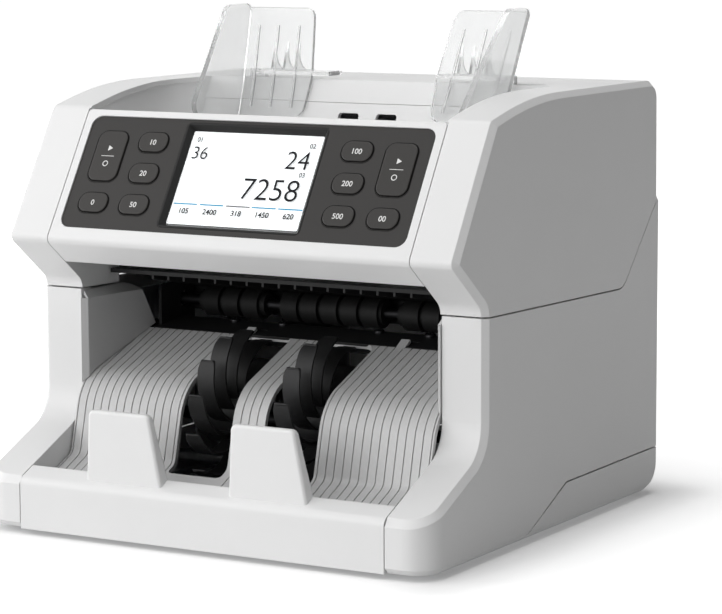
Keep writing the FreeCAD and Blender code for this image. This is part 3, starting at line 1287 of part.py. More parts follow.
def key(x, run, width, height):
    """Key cap with the flange that holds it behind the fascia."""
    cap = slab(width, height, KEY_RADIUS, x, run, FASCIA_BACK - RUN - 0.5, FASCIA_TOP + KEY_RISE)
    rim = [e for e in cap.Edges if e.BoundBox.ZMin > FASCIA_TOP + KEY_RISE - 0.01]
    cap = cap.makeFillet(KEY_EDGE_RADIUS, rim)
    flange = slab(width + 2 * KEY_FLANGE, height + 2 * KEY_FLANGE, KEY_RADIUS, x, run,
                  FASCIA_BACK - RUN - KEY_FLANGE_THICK, FASCIA_BACK - RUN)
    return on_panel(fused([cap, flange]))


def keypad_fascia():
    """Dark plate of the keypad with openings for keys and display."""
    plate = slab(FASCIA_WIDTH, FASCIA_HEIGHT, FASCIA_RADIUS, 0, FASCIA_RUN, FASCIA_BACK, FASCIA_TOP)
    holes = [slab(w + 2 * KEY_GAP, h + 2 * KEY_GAP, KEY_RADIUS + KEY_GAP, x, run, FASCIA_BACK - 1, 1)
             for _, x, run, w, h in key_table()]
    width, height = DISPLAY_WIDTH + 2 * DISPLAY_BORDER, DISPLAY_HEIGHT + 2 * DISPLAY_BORDER
    holes.append(slab(width + FIT, height + FIT, 2.5, DISPLAY_X, DISPLAY_RUN, FASCIA_BACK - 1, 1))
    return on_panel(cut(plate, holes))


def display_frame():
    """Black frame round the display glass, bevelled towards it."""
    width, height = DISPLAY_WIDTH + 2 * DISPLAY_BORDER, DISPLAY_HEIGHT + 2 * DISPLAY_BORDER
    ring = slab(width, height, 2.4, DISPLAY_X, DISPLAY_RUN, GLASS_TOP - GLASS_THICK, FASCIA_TOP + 0.1)
    opening = slab(DISPLAY_WIDTH, DISPLAY_HEIGHT, 0.8, DISPLAY_X, DISPLAY_RUN, GLASS_TOP - 3, GLASS_TOP + 0.2)
    half_w, half_h = DISPLAY_WIDTH / 2, DISPLAY_HEIGHT / 2
    flare = DISPLAY_BORDER - 0.8
    loops = []
    for grow, out in ((0, GLASS_TOP), (flare, FASCIA_TOP + 0.2)):
        corners = [V(DISPLAY_X + sx * (half_w + grow), DISPLAY_RUN + sy * (half_h + grow), out)
                   for sx, sy in ((-1, -1), (1, -1), (1, 1), (-1, 1))]
        loops.append(Part.makePolygon(corners + corners[:1]))
    return on_panel(cut(ring, [opening, Part.makeLoft(loops, True, True)]))


def display_glass():
    """Clear glass of the display."""
    return on_panel(slab(DISPLAY_WIDTH - FIT, DISPLAY_HEIGHT - FIT, 0.7, DISPLAY_X, DISPLAY_RUN,
                         GLASS_TOP - GLASS_THICK, GLASS_TOP))


def display_module():
    """Display module between the glass and the control board."""
    return on_panel(slab(DISPLAY_WIDTH + 2, DISPLAY_HEIGHT + 2, 1.0, DISPLAY_X, DISPLAY_RUN,
                         BOARD_TOP, GLASS_TOP - GLASS_THICK - PRESS))


def control_board():
    """Board behind the fascia with one push switch under every key."""
    width, height = FASCIA_WIDTH - 2 * BOARD_MARGIN, FASCIA_HEIGHT - 2
    pieces = [slab(width, height, 2.0, 0, FASCIA_RUN, BOARD_TOP - BOARD_THICK, BOARD_TOP)]
    for _, x, run, _, _ in key_table():
        pieces.append(slab(SWITCH_SIDE, SWITCH_SIDE, 0.5, x, run, BOARD_TOP - 0.1, BOARD_TOP + SWITCH_HIGH))
    for x in (-FASCIA_WIDTH / 2 + 2 * BOARD_MARGIN, FASCIA_WIDTH / 2 - 2 * BOARD_MARGIN):
        pieces.append(slab(5, 5, 2.0, x, FASCIA_RISE + 4, BOARD_TOP - 0.1, FASCIA_BACK))
    return on_panel(fused(pieces))


def front_cover(block, hollow):
    """Cover of the sloping panel, wrapped round the lip, with the keypad opening."""
    skin = block.cut(hollow).common(cover_room(COVER_GAP))
    opening = slab(FASCIA_WIDTH + FIT, FASCIA_HEIGHT + FIT, FASCIA_RADIUS, 0, FASCIA_RUN, -WALL - 2, 3)
    return biggest(skin.cut(on_panel(opening)))


def roller_axis(touch_z, radius):
    """Axis (y, z) of a roller that stands proud of the feed plate at a height."""
    depth = radius - ROLLER_PROUD
    return (feed_face_y(touch_z) + depth * math.cos(FEED_LEAN), touch_z - depth * math.sin(FEED_LEAN))


PICKUP_AXIS = roller_axis(PICKUP_Z, PICKUP_RADIUS)
FEED_AXIS = roller_axis(FEED_Z, FEED_RADIUS)


def feed_plate():
    """Leaning plate at the back of the hopper, with windows for the rollers."""
    run = [(feed_face_y(FEED_FOOT_Z), FEED_FOOT_Z, 0), (feed_face_y(FEED_SEAM_Z), FEED_SEAM_Z, 0)]
    plate_half = HOPPER_HALF + HOPPER_LIP - FIT
    plate = side_prism(strip_outline(run, FEED_THICK), -plate_half, plate_half)
    half = WINDOW_WIDTH / 2
    windows = []
    for x in (-WINDOW_X, WINDOW_X):
        top = (WINDOW_TOP_Z, WINDOW_CORNER_RADIUS)
        face = [(x - half, FEED_FOOT_Z - 5), (x + half, FEED_FOOT_Z - 5), (x + half, *top), (x - half, *top)]
        windows.append(front_prism(face, feed_face_y(FEED_FOOT_Z) - 5, feed_face_y(FEED_SEAM_Z) + 10))
    return cut(plate, windows)


def roller_pair(axis, radius):
    """Two grooved rollers side by side."""
    y, z = axis
    rollers = []
    for x in (-WINDOW_X, WINDOW_X):
        x0, x1 = x - ROLLER_WIDTH / 2, x + ROLLER_WIDTH / 2
        roller = rod(x0, x1, y, z, radius)
        groove = rod(x - 1, x + 1, y, z, radius + 1).cut(rod(x - 2, x + 2, y, z, radius - 1.0))
        roller = cut(roller, [groove, rod(x0 - 1, x1 + 1, y, z, SHAFT_RADIUS + PRESS)])
        rollers.append(roller)
    return Part.makeCompound(rollers)


def roller_shaft(axis):
    """Shaft of the hopper rollers, held in both bearers."""
    half = BEARER_X + BEARER_THICK + 1.5
    return rod(-half, half, axis[0], axis[1], SHAFT_RADIUS)


def roller_bearers():
    """Two steel plates behind the feed plate that carry the roller shafts."""
    back = (FEED_THICK + PRESS) / math.cos(FEED_LEAN)
    low, high = FEED_AXIS[1] - 12, FEED_SEAM_Z - 4
    outline = [(feed_face_y(FEED_FOOT_Z) + back, FEED_FOOT_Z), (feed_face_y(high) + back, high),
               (feed_face_y(high) + back + 16, high, 4.0), (PICKUP_AXIS[0] + 18, PICKUP_AXIS[1] + 4, 8.0),
               (PICKUP_AXIS[0] + 18, low, 6.0), (FEED_AXIS[0] - 4, low, 6.0)]
    bearers = []
    for x in (-BEARER_X - BEARER_THICK, BEARER_X):
        plate = side_prism(outline, x, x + BEARER_THICK)
        holes = [rod(-HALF, HALF, y, z, SHAFT_RADIUS + RUN) for y, z in (PICKUP_AXIS, FEED_AXIS)]
        bearers.append(cut(plate, holes))
    return Part.makeCompound(bearers)


def upper_guide():
    """Black guide over the exit rollers: a ceiling with fins that reach down to the sheets."""
    y0, y1 = PILLAR_Y + 21, EXIT_Y + 10
    half = INNER_HALF - FIT
    top_z = GUIDE_CEILING_Z + CEILING_THICK
    ceiling = box(-half, half, y0 + 14, y1, GUIDE_CEILING_Z, top_z)
    nose = box(-HOPPER_HALF + 1, HOPPER_HALF - 1, y0, y0 + 15, GUIDE_CEILING_Z, top_z)
    pieces = [ceiling, nose]
    low_z = EXIT_Z + EXIT_RADIUS + FIN_CLEARANCE
    root_z = GUIDE_CEILING_Z + CEILING_THICK / 2
    fin = [(y0, root_z), (y0, GUIDE_CEILING_Z - 2), (EXIT_Y - 12, low_z, 6.0), (EXIT_Y + 6, low_z, 3.0),
           (y1, GUIDE_CEILING_Z - 1), (y1, root_z)]
    count = int(EXIT_SPANS[2][1] / FIN_PITCH)
    for i in range(-count, count + 1):
        x = i * FIN_PITCH
        pieces.append(side_prism(fin, x - FIN_THICK / 2, x + FIN_THICK / 2))
    return fused(pieces)


def guide_front_run():
    """Side line of the guide panel's front surface, from its foot to its top."""
    step = (FIT + GUIDE_PANEL_THICK) / math.cos(FEED_LEAN)
    bend_y = feed_face_y(GUIDE_BEND_Z) - step
    top_y = bend_y + (GUIDE_TOP_Z - GUIDE_BEND_Z) * math.tan(GUIDE_LEAN)
    return [(feed_face_y(GUIDE_FOOT_Z) - step, GUIDE_FOOT_Z, 0), (bend_y, GUIDE_BEND_Z, 30.0),
            (top_y, GUIDE_TOP_Z, 0)]


def guide_outer_x(z):
    """Outer face of the guide's side wall at a height."""
    return GUIDE_OUTER + (z - GUIDE_FRONT_LOW_Z) * math.tan(GUIDE_SPLAY)


def clear_guide(bar_inner):
    """Clear hopper guide of the right side: panel, side wall, ribs, gussets and post."""
    run = guide_front_run()
    panel = side_prism(strip_outline(run, GUIDE_PANEL_THICK), 0, HALF)
    face = [(GUIDE_INNER_FOOT, GUIDE_FOOT_Z, GUIDE_CORNER_RADIUS),
            (guide_outer_x(GUIDE_FOOT_Z) - 1, GUIDE_FOOT_Z), (guide_outer_x(GUIDE_TOP_Z) - 1, GUIDE_TOP_Z),
            (GUIDE_INNER_TOP, GUIDE_TOP_Z, GUIDE_CORNER_RADIUS),
            (GUIDE_INNER_BEND, CASE_TOP + GUIDE_BAR_RISE, 20.0)]
    panel = panel.common(front_prism(face, run[0][0] - 20, run[-1][0] + 20))
    low_y = FRONT + GUIDE_FRONT_SETBACK
    crest_z = GUIDE_TOP_Z + GUIDE_CREST
    front_top_y = low_y + (crest_z - GUIDE_FRONT_LOW_Z) * math.tan(GUIDE_FRONT_LEAN)
    side = [(low_y, GUIDE_FRONT_LOW_Z, 6.0), (front_top_y, crest_z, GUIDE_FRONT_RADIUS),
            (run[2][0] - 1, crest_z, 5.0), (run[2][0] + 1, GUIDE_TOP_Z - 2), (run[1][0] + 1, GUIDE_BEND_Z),
            (run[0][0] + 1, GUIDE_FOOT_Z), (run[0][0] - 5, GUIDE_SIDE_FOOT_Z, 4.0),
            (low_y + 10, GUIDE_SIDE_FOOT_Z, 6.0)]
    wall = side_prism(side, GUIDE_OUTER - GUIDE_THICK, GUIDE_OUTER)
    wall.rotate(V(GUIDE_OUTER, 0, GUIDE_FRONT_LOW_Z), V(0, 1, 0), math.degrees(GUIDE_SPLAY))
    pieces = [panel, wall] + guide_ribs(run) + guide_back(run, bar_inner)
    return biggest(fused(pieces))


def guide_ribs(run):
    """Thin upright ribs on the front of the guide panel, splayed like the side wall."""
    ribs = []
    for x in GUIDE_RIB_X:
        line = [(y - GUIDE_RIB_HIGH, z, r) for y, z, r in run]
        strip = side_prism(strip_outline(line, GUIDE_RIB_HIGH + 0.5), x - GUIDE_RIB_THICK / 2,
                           x + GUIDE_RIB_THICK / 2)
        strip = strip.common(box(0, HALF, -HALF, HALF, GUIDE_RIB_FOOT_Z, GUIDE_RIB_TOP_Z))
        strip.rotate(V(x, 0, GUIDE_RIB_TOP_Z), V(0, 1, 0), math.degrees(GUIDE_SPLAY))
        ribs.append(strip)
    return ribs


def guide_back(run, bar_inner):
    """Base bar, fin-shaped gussets and post behind the guide panel."""
    bar_z0 = CASE_TOP + GUIDE_BAR_RISE
    bar_z1 = bar_z0 + GUIDE_BAR_HIGH
    bar_y0 = run[1][0] + (bar_z0 - GUIDE_BEND_Z) * math.tan(GUIDE_LEAN) + 1.0
    pieces = [box(bar_inner, GUIDE_BAR_OUTER, bar_y0, bar_y0 + GUIDE_BAR_DEPTH, bar_z0, bar_z1)]
    top_y = run[1][0] + (GUSSET_TOP_Z - GUIDE_BEND_Z) * math.tan(GUIDE_LEAN) + 1.0
    rise = GUSSET_TOP_Z - bar_z1
    outline = [(bar_y0, bar_z0 + 1), (top_y, GUSSET_TOP_Z), (top_y + 1.4, GUSSET_TOP_Z),
               (bar_y0 + GUSSET_DEPTH * 0.5, bar_z1 + rise * 0.22, 8.0), (bar_y0 + GUSSET_DEPTH, bar_z1),
               (bar_y0 + GUSSET_DEPTH, bar_z0 + 1)]
    for x in GUSSET_X:
        pieces.append(side_prism(outline, x - GUSSET_THICK / 2, x + GUSSET_THICK / 2))
    half = POST_WIDTH / 2
    pieces.append(box(POST_X - half, POST_X + half, post_y() - POST_DEPTH / 2, post_y() + POST_DEPTH / 2,
                      RACK_TOP_Z, bar_z1))
    return pieces


def tooth_halves():
    """Half widths of a tooth at its root and at its tip."""
    slant = math.tan(TOOTH_SLANT)
    return TOOTH_HALF + TOOTH_DEDENDUM * slant, TOOTH_HALF - TOOTH_ADDENDUM * slant


def rack_teeth(y_pitch, x0, x1, facing):
    """Rack teeth along x with a gap at the middle; facing is +1 towards the rear."""
    pitch = math.pi * TOOTH_MODULE
    root, tip = tooth_halves()
    teeth = []
    first = math.ceil((x0 + 1.2) / pitch - 0.5)
    last = math.floor((x1 - 1.2) / pitch - 0.5)
    for i in range(first, last + 1):
        x = (i + 0.5) * pitch
        y_root, y_tip = y_pitch - facing * (TOOTH_DEDENDUM + 0.2), y_pitch + facing * TOOTH_ADDENDUM
        corners = [(x - root, y_root), (x + root, y_root), (x + tip, y_tip), (x - tip, y_tip)]
        teeth.append(plan_prism(corners, RACK_TOP_Z - RACK_HIGH, RACK_TOP_Z))
    return teeth


def guide_rack_left():
    """Toothed bar of the left guide, in front of the pinion."""
    y_pitch = PINION_Y - TOOTH_MODULE * PINION_TEETH / 2
    y1 = y_pitch - TOOTH_DEDENDUM
    x0, x1 = -POST_X - RACK_REACH / 2, RACK_REACH
    bar = box(x0, x1, y1 - RACK_BAR + 0.8, y1, RACK_TOP_Z - RACK_HIGH, RACK_TOP_Z)
    return fused([bar] + rack_teeth(y_pitch, -RACK_REACH, x1, 1))


def guide_rack_right():
    """Toothed bar of the right guide, behind the pinion, with an arm to its post."""
    y_pitch = PINION_Y + TOOTH_MODULE * PINION_TEETH / 2
    y0 = y_pitch + TOOTH_DEDENDUM
    z0 = RACK_TOP_Z - RACK_HIGH
    x0, x1 = -RACK_REACH, POST_X + RACK_REACH / 2
    bar = box(x0, x1, y0, y0 + RACK_BAR - 0.8, z0, RACK_TOP_Z)
    arm = box(POST_X - POST_WIDTH, x1, post_y() - POST_DEPTH / 2 - 0.5, y0 + 1, z0, RACK_TOP_Z)
    return fused([bar, arm] + rack_teeth(y_pitch, x0, RACK_REACH, -1))


def guide_pinion():
    """Pinion that makes the two guides move together."""
    radius = TOOTH_MODULE * PINION_TEETH / 2
    z0 = RACK_TOP_Z - RACK_HIGH
    core = radius - TOOTH_DEDENDUM
    pieces = [post(0, PINION_Y, z0, RACK_TOP_Z, core)]
    root, tip = tooth_halves()
    for i in range(PINION_TEETH):
        corners = [(-root, core - 0.5), (root, core - 0.5), (tip, radius + TOOTH_ADDENDUM),
                   (-tip, radius + TOOTH_ADDENDUM)]
        tooth = plan_prism(corners, z0, RACK_TOP_Z)
        tooth.rotate(V(0, 0, 0), V(0, 0, 1), i * 360.0 / PINION_TEETH)
        tooth.translate(V(0, PINION_Y, 0))
        pieces.append(tooth)
    return fused(pieces).cut(post(0, PINION_Y, z0 - 1, RACK_TOP_Z + 1, PINION_STUD + RUN))


def save(nodes):
    """Writes every node to its own file."""
    os.makedirs("parts", exist_ok=True)
    for name, shape in nodes.items():
        shape.exportStep("parts/" + name + ".step")


def lower_nodes(block, hollow):
    """Pieces of the lower unit."""
    nodes = {
        "base_plate": base_plate(),
        "rubber_feet": rubber_feet(),
        "lower_casing": lower_casing(block, hollow),
        "base_rear_cover": base_rear_cover(block, hollow),
        "tray_front": tray_front(),
        "tray_plate": tray_plate(),
        "tray_wall_right": tray_wall_right(),
        "tray_wall_left": mirrored(tray_wall_right()),
        "exit_deck": exit_deck(),
        "screws": screws(),
        "side_frame_left": side_frame(-1),
        "side_frame_right": side_frame(1),
        "cross_bars": cross_bars(),
        "shaft_bushes": shaft_bushes(),
        "drive_motor": drive_motor(),
        "drive_belt": drive_belt(),
        "motor_pulley": motor_pulley(),
        "power_supply": power_supply(),
        "main_board": main_board(),
        "inlet_module": inlet_module(),
        "power_switch": power_switch(),
        "lower_sensor_bar": lower_sensor_bar(),
        "stacker_shaft": lower_shaft(SHAFT_PLACES[0]),
        "stacker_wheel_left": stacker_wheel(-STACKER_X),
        "stacker_wheel_right": stacker_wheel(STACKER_X),
        "stacker_pulley": pulley(SHAFT_PLACES[0], STACKER_PULLEY_RADIUS, SHAFT_RADIUS + PRESS),
        "exit_shaft": lower_shaft(SHAFT_PLACES[1]),
        "exit_rollers": exit_rollers(),
        "exit_pulley": pulley(SHAFT_PLACES[1], EXIT_PULLEY_RADIUS, SHAFT_RADIUS + PRESS),
    }
    return nodes


def upper_nodes(block, hollow):
    """Pieces of the upper unit."""
    nodes = {
        "upper_casing": upper_casing(block, hollow),
        "front_cover": front_cover(block, hollow),
        "keypad_fascia": keypad_fascia(),
        "display_frame": display_frame(),
        "display_glass": display_glass(),
        "display_module": display_module(),
        "control_board": control_board(),
        "feed_plate": feed_plate(),
        "roller_bearers": roller_bearers(),
        "pickup_shaft": roller_shaft(PICKUP_AXIS),
        "pickup_rollers": roller_pair(PICKUP_AXIS, PICKUP_RADIUS),
        "feed_shaft": roller_shaft(FEED_AXIS),
        "feed_rollers": roller_pair(FEED_AXIS, FEED_RADIUS),
        "upper_guide": upper_guide(),
        "hinge_pins": hinge_pins(),
        "guide_right": clear_guide(GUIDE_BAR_INNER_RIGHT),
        "guide_left": mirrored(clear_guide(GUIDE_BAR_INNER_LEFT)),
        "guide_rack_right": guide_rack_right(),
        "guide_rack_left": guide_rack_left(),
        "guide_pinion": guide_pinion(),
    }
    for name, x, run, width, height in key_table():
        nodes[name] = key(x, run, width, height)
    return nodes


def build():
    """Builds and saves the whole counter."""
    block = casing_block()
    hollow = casing_hollow()
    save(lower_nodes(block, hollow))
    save(upper_nodes(block, hollow))


build()
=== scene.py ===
import bpy
import math
from mathutils import Matrix, Vector


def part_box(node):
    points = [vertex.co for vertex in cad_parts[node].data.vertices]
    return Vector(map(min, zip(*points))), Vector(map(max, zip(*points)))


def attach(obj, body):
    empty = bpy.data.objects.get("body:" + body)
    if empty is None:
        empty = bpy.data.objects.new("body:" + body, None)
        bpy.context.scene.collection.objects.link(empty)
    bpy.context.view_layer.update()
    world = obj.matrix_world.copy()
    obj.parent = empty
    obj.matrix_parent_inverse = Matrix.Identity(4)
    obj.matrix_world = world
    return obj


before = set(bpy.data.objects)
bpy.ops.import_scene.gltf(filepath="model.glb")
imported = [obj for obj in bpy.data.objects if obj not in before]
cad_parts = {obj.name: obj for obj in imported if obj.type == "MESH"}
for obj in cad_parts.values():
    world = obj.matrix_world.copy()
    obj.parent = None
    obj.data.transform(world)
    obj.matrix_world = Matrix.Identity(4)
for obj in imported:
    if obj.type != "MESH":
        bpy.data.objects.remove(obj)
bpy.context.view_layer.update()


# Base plate, side frames, roller bearers and power supply case.
# Folded sheet steel with a dull zinc plating, punched and then screwed together.
# The plating shows a soft cloudy spangle and faint drawing lines from the rolling.

def plated_sheet(name, light, dark, roughness):
    finish = bpy.data.materials.new(name)
    finish.use_nodes = True
    tree = finish.node_tree
    shader = tree.nodes["Principled BSDF"]
    shader.inputs["Metallic"].default_value = 1.0
    place = tree.nodes.new("ShaderNodeTexCoord")
    spangle = tree.nodes.new("ShaderNodeTexVoronoi")
    spangle.inputs["Scale"].default_value = 160.0
    tree.links.new(place.outputs["Object"], spangle.inputs["Vector"])
    tone = tree.nodes.new("ShaderNodeValToRGB")
    tone.color_ramp.elements[0].color = dark
    tone.color_ramp.elements[1].color = light
    tree.links.new(spangle.outputs["Color"], tone.inputs["Fac"])
    tree.links.new(tone.outputs["Color"], shader.inputs["Base Color"])
    drawn = tree.nodes.new("ShaderNodeMapping")
    drawn.inputs["Scale"].default_value = (60.0, 60.0, 2500.0)
    tree.links.new(place.outputs["Object"], drawn.inputs["Vector"])
    lines = tree.nodes.new("ShaderNodeTexNoise")
    lines.inputs["Scale"].default_value = 1.0
    tree.links.new(drawn.outputs["Vector"], lines.inputs["Vector"])
    spread = tree.nodes.new("ShaderNodeMapRange")
    spread.inputs["To Min"].default_value = roughness - 0.08
    spread.inputs["To Max"].default_value = roughness + 0.10
    tree.links.new(lines.outputs["Fac"], spread.inputs["Value"])
    tree.links.new(spread.outputs["Result"], shader.inputs["Roughness"])
    relief = tree.nodes.new("ShaderNodeBump")
    relief.inputs["Strength"].default_value = 0.25
    relief.inputs["Distance"].default_value = 0.00002
    tree.links.new(lines.outputs["Fac"], relief.inputs["Height"])
    tree.links.new(relief.outputs["Normal"], shader.inputs["Normal"])
    return finish


def dress(finish, *names):
    for name in names:
        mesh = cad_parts[name].data
        mesh.materials.clear()
        mesh.materials.append(finish)


zinc_sheet = plated_sheet("zinc_sheet", (0.62, 0.63, 0.64, 1), (0.50, 0.51, 0.52, 1), 0.40)
dress(zinc_sheet, "base_plate", "side_frame_left", "side_frame_right", "roller_bearers", "power_supply")


# Shafts, cross bars, bushes, motor can and hinge pins.
# Steel bar turned and centreless ground, so the marks run round each bar.
# They are pressed into the frames or run in flanged bushes; the pocket's two shafts are drawn near-black.

turning_marks = (3200.0, 40.0, 40.0)
turned_steel = plated_sheet("turned_steel", (0.60, 0.60, 0.61, 1), (0.52, 0.52, 0.53, 1), 0.30)
black_steel = plated_sheet("black_steel", (0.030, 0.030, 0.032, 1), (0.020, 0.020, 0.021, 1), 0.45)
for bar_steel in (turned_steel, black_steel):
    bar_steel.node_tree.nodes["Mapping"].inputs["Scale"].default_value = turning_marks
dress(turned_steel, "feed_shaft", "pickup_shaft", "cross_bars", "shaft_bushes", "hinge_pins", "drive_motor")
dress(black_steel, "exit_shaft", "stacker_shaft")


# Rubber feet, drive belt and roller covers.
# Black moulded rubber with a dull, slightly dusty surface and a fine cloth-like grain.
# The feet push through the base plate, and the roller covers are bonded to their cores.

def black_rubber(name, tone, dusty, roughness, grain_scale):
    finish = bpy.data.materials.new(name)
    finish.use_nodes = True
    tree = finish.node_tree
    shader = tree.nodes["Principled BSDF"]
    shader.inputs["Specular IOR Level"].default_value = 0.22
    place = tree.nodes.new("ShaderNodeTexCoord")
    cloud = tree.nodes.new("ShaderNodeTexNoise")
    cloud.inputs["Scale"].default_value = 90.0
    cloud.inputs["Detail"].default_value = 5.0
    tree.links.new(place.outputs["Object"], cloud.inputs["Vector"])
    dust = tree.nodes.new("ShaderNodeValToRGB")
    dust.color_ramp.elements[0].position = 0.35
    dust.color_ramp.elements[0].color = tone
    dust.color_ramp.elements[1].position = 0.85
    dust.color_ramp.elements[1].color = dusty
    tree.links.new(cloud.outputs["Fac"], dust.inputs["Fac"])
    tree.links.new(dust.outputs["Color"], shader.inputs["Base Color"])
    grain = tree.nodes.new("ShaderNodeTexNoise")
    grain.inputs["Scale"].default_value = grain_scale
    tree.links.new(place.outputs["Object"], grain.inputs["Vector"])
    spread = tree.nodes.new("ShaderNodeMapRange")
    spread.inputs["To Min"].default_value = roughness - 0.08
    spread.inputs["To Max"].default_value = roughness + 0.08
    tree.links.new(grain.outputs["Fac"], spread.inputs["Value"])
    tree.links.new(spread.outputs["Result"], shader.inputs["Roughness"])
    relief = tree.nodes.new("ShaderNodeBump")
    relief.inputs["Strength"].default_value = 0.5
    relief.inputs["Distance"].default_value = 0.00004
    tree.links.new(grain.outputs["Fac"], relief.inputs["Height"])
    tree.links.new(relief.outputs["Normal"], shader.inputs["Normal"])
    return finish


roller_rubber = black_rubber("roller_rubber", (0.008, 0.008, 0.008, 1), (0.016, 0.016, 0.016, 1),
                             0.62, 2200.0)
foot_rubber = black_rubber("foot_rubber", (0.018, 0.018, 0.018, 1), (0.045, 0.044, 0.043, 1), 0.75, 1500.0)
dress(roller_rubber, "exit_rollers", "feed_rollers", "pickup_rollers", "drive_belt")
dress(foot_rubber, "rubber_feet")


# White casing: lower shells, base rear cover, tray front, upper casing, cover and feed plate.
# Moulded in off-white ABS with a fine spark-eroded grain and edges softened by the tool.
# The two units part along the seam, and the cover clips round the lip of the panel.

def shell_plastic(name, light, dark, roughness, grain_scale, grain_depth, edge_radius):
    finish = bpy.data.materials.new(name)
    finish.use_nodes = True
    tree = finish.node_tree
    shader = tree.nodes["Principled BSDF"]
    shader.inputs["IOR"].default_value = 1.5
    place = tree.nodes.new("ShaderNodeTexCoord")
    flow = tree.nodes.new("ShaderNodeTexNoise")
    flow.inputs["Scale"].default_value = 11.0
    flow.inputs["Detail"].default_value = 3.0
    tree.links.new(place.outputs["Object"], flow.inputs["Vector"])
    tone = tree.nodes.new("ShaderNodeValToRGB")
    tone.color_ramp.elements[0].position = 0.3
    tone.color_ramp.elements[0].color = dark
    tone.color_ramp.elements[1].position = 0.7
    tone.color_ramp.elements[1].color = light
    tree.links.new(flow.outputs["Fac"], tone.inputs["Fac"])
    tree.links.new(tone.outputs["Color"], shader.inputs["Base Color"])
    grain = tree.nodes.new("ShaderNodeTexNoise")
    grain.inputs["Scale"].default_value = grain_scale
    grain.inputs["Detail"].default_value = 2.0
    tree.links.new(place.outputs["Object"], grain.inputs["Vector"])
    spread = tree.nodes.new("ShaderNodeMapRange")
    spread.inputs["To Min"].default_value = roughness - 0.06
    spread.inputs["To Max"].default_value = roughness + 0.06
    tree.links.new(grain.outputs["Fac"], spread.inputs["Value"])
    tree.links.new(spread.outputs["Result"], shader.inputs["Roughness"])
    relief = tree.nodes.new("ShaderNodeBump")
    relief.inputs["Strength"].default_value = 0.35
    relief.inputs["Distance"].default_value = grain_depth
    tree.links.new(grain.outputs["Fac"], relief.inputs["Height"])
    soft_edge = tree.nodes.new("ShaderNodeBevel")
    soft_edge.samples = 6
    soft_edge.inputs["Radius"].default_value = edge_radius
    tree.links.new(soft_edge.outputs["Normal"], relief.inputs["Normal"])
    tree.links.new(relief.outputs["Normal"], shader.inputs["Normal"])
    return finish


casing_white = shell_plastic("casing_white", (0.80, 0.80, 0.80, 1), (0.775, 0.775, 0.775, 1),
                             0.42, 2400.0, 0.000012, 0.0006)
dress(casing_white, "lower_casing", "base_rear_cover", "tray_front", "upper_casing", "front_cover",
      "feed_plate")


# Stacker pocket: grooved plate and its two side walls.
# ABS in a grey a shade darker than the casing, with grooves that are moulded in. On the side walls, which
# are white like the casing, this grey is painted shade of the pocket.
# The plate hooks over the deck at the top and rests on the ledge of the tray front.

# Darker copy of the casing white: painted shade on the pocket's side walls.
pocket_grey_painted_shade = shell_plastic("pocket_grey_painted_shade", (0.60, 0.60, 0.60, 1), (0.57, 0.57, 0.57, 1),
                            0.36, 1800.0, 0.000010, 0.0002)
dress(pocket_grey_painted_shade, "tray_plate", "tray_wall_left", "tray_wall_right", "guide_rack_left", "guide_rack_right")


# Exit deck, sensor bar, upper guide, stacker wheels, pulleys and pinion.
# Black glass-filled nylon and ABS, with a dull moulded surface.
# The wheels are pressed on their shaft, and the deck is screwed between the frames.

inner_black = shell_plastic("inner_black", (0.015, 0.015, 0.016, 1), (0.010, 0.010, 0.010, 1),
                            0.50, 1500.0, 0.000020, 0.0003)


def less_gloss(finish, level):
    finish.node_tree.nodes["Principled BSDF"].inputs["Specular IOR Level"].default_value = level


less_gloss(inner_black, 0.25)
dress(inner_black, "exit_deck", "lower_sensor_bar", "upper_guide", "stacker_wheel_left",
      "stacker_wheel_right", "stacker_pulley", "exit_pulley", "motor_pulley", "guide_pinion")


# Deck screws: four domed cross-head screws with a blackened finish.
# Cold headed and plated, they hold the exit deck to the brackets of the frames.

screw_black = plated_sheet("screw_black", (0.060, 0.060, 0.063, 1), (0.035, 0.035, 0.037, 1), 0.38)
dress(screw_black, "screws")


# Circuit boards of both units.
# Glass laminate with a green lacquer, where the woven cloth shows faintly through.

def lacquered_board(name):
    finish = bpy.data.materials.new(name)
    finish.use_nodes = True
    tree = finish.node_tree
    shader = tree.nodes["Principled BSDF"]
    shader.inputs["Roughness"].default_value = 0.30
    shader.inputs["Coat Weight"].default_value = 0.4
    place = tree.nodes.new("ShaderNodeTexCoord")
    weave = tree.nodes.new("ShaderNodeTexChecker")
    weave.inputs["Scale"].default_value = 1400.0
    weave.inputs["Color1"].default_value = (0.010, 0.070, 0.028, 1)
    weave.inputs["Color2"].default_value = (0.014, 0.085, 0.035, 1)
    tree.links.new(place.outputs["Object"], weave.inputs["Vector"])
    tree.links.new(weave.outputs["Color"], shader.inputs["Base Color"])
    return finish


board_green = lacquered_board("board_green")
dress(board_green, "main_board", "control_board")


# Mains inlet at the rear, with its rocker switch.
# Black thermoset with a matt moulded face, snapped into an opening of the rear wall.
# The rocker turns on an axle in the module.

inlet_black = shell_plastic("inlet_black", (0.022, 0.022, 0.022, 1), (0.015, 0.015, 0.015, 1),
                            0.46, 2600.0, 0.000025, 0.0003)
dress(inlet_black, "inlet_module", "power_switch")


# Keypad fascia, its ten keys and the display frame.
# Dark warm grey polycarbonate film on a moulded carrier; the keys come through it.
# The frame round the display falls away to the glass in a smooth bevel.

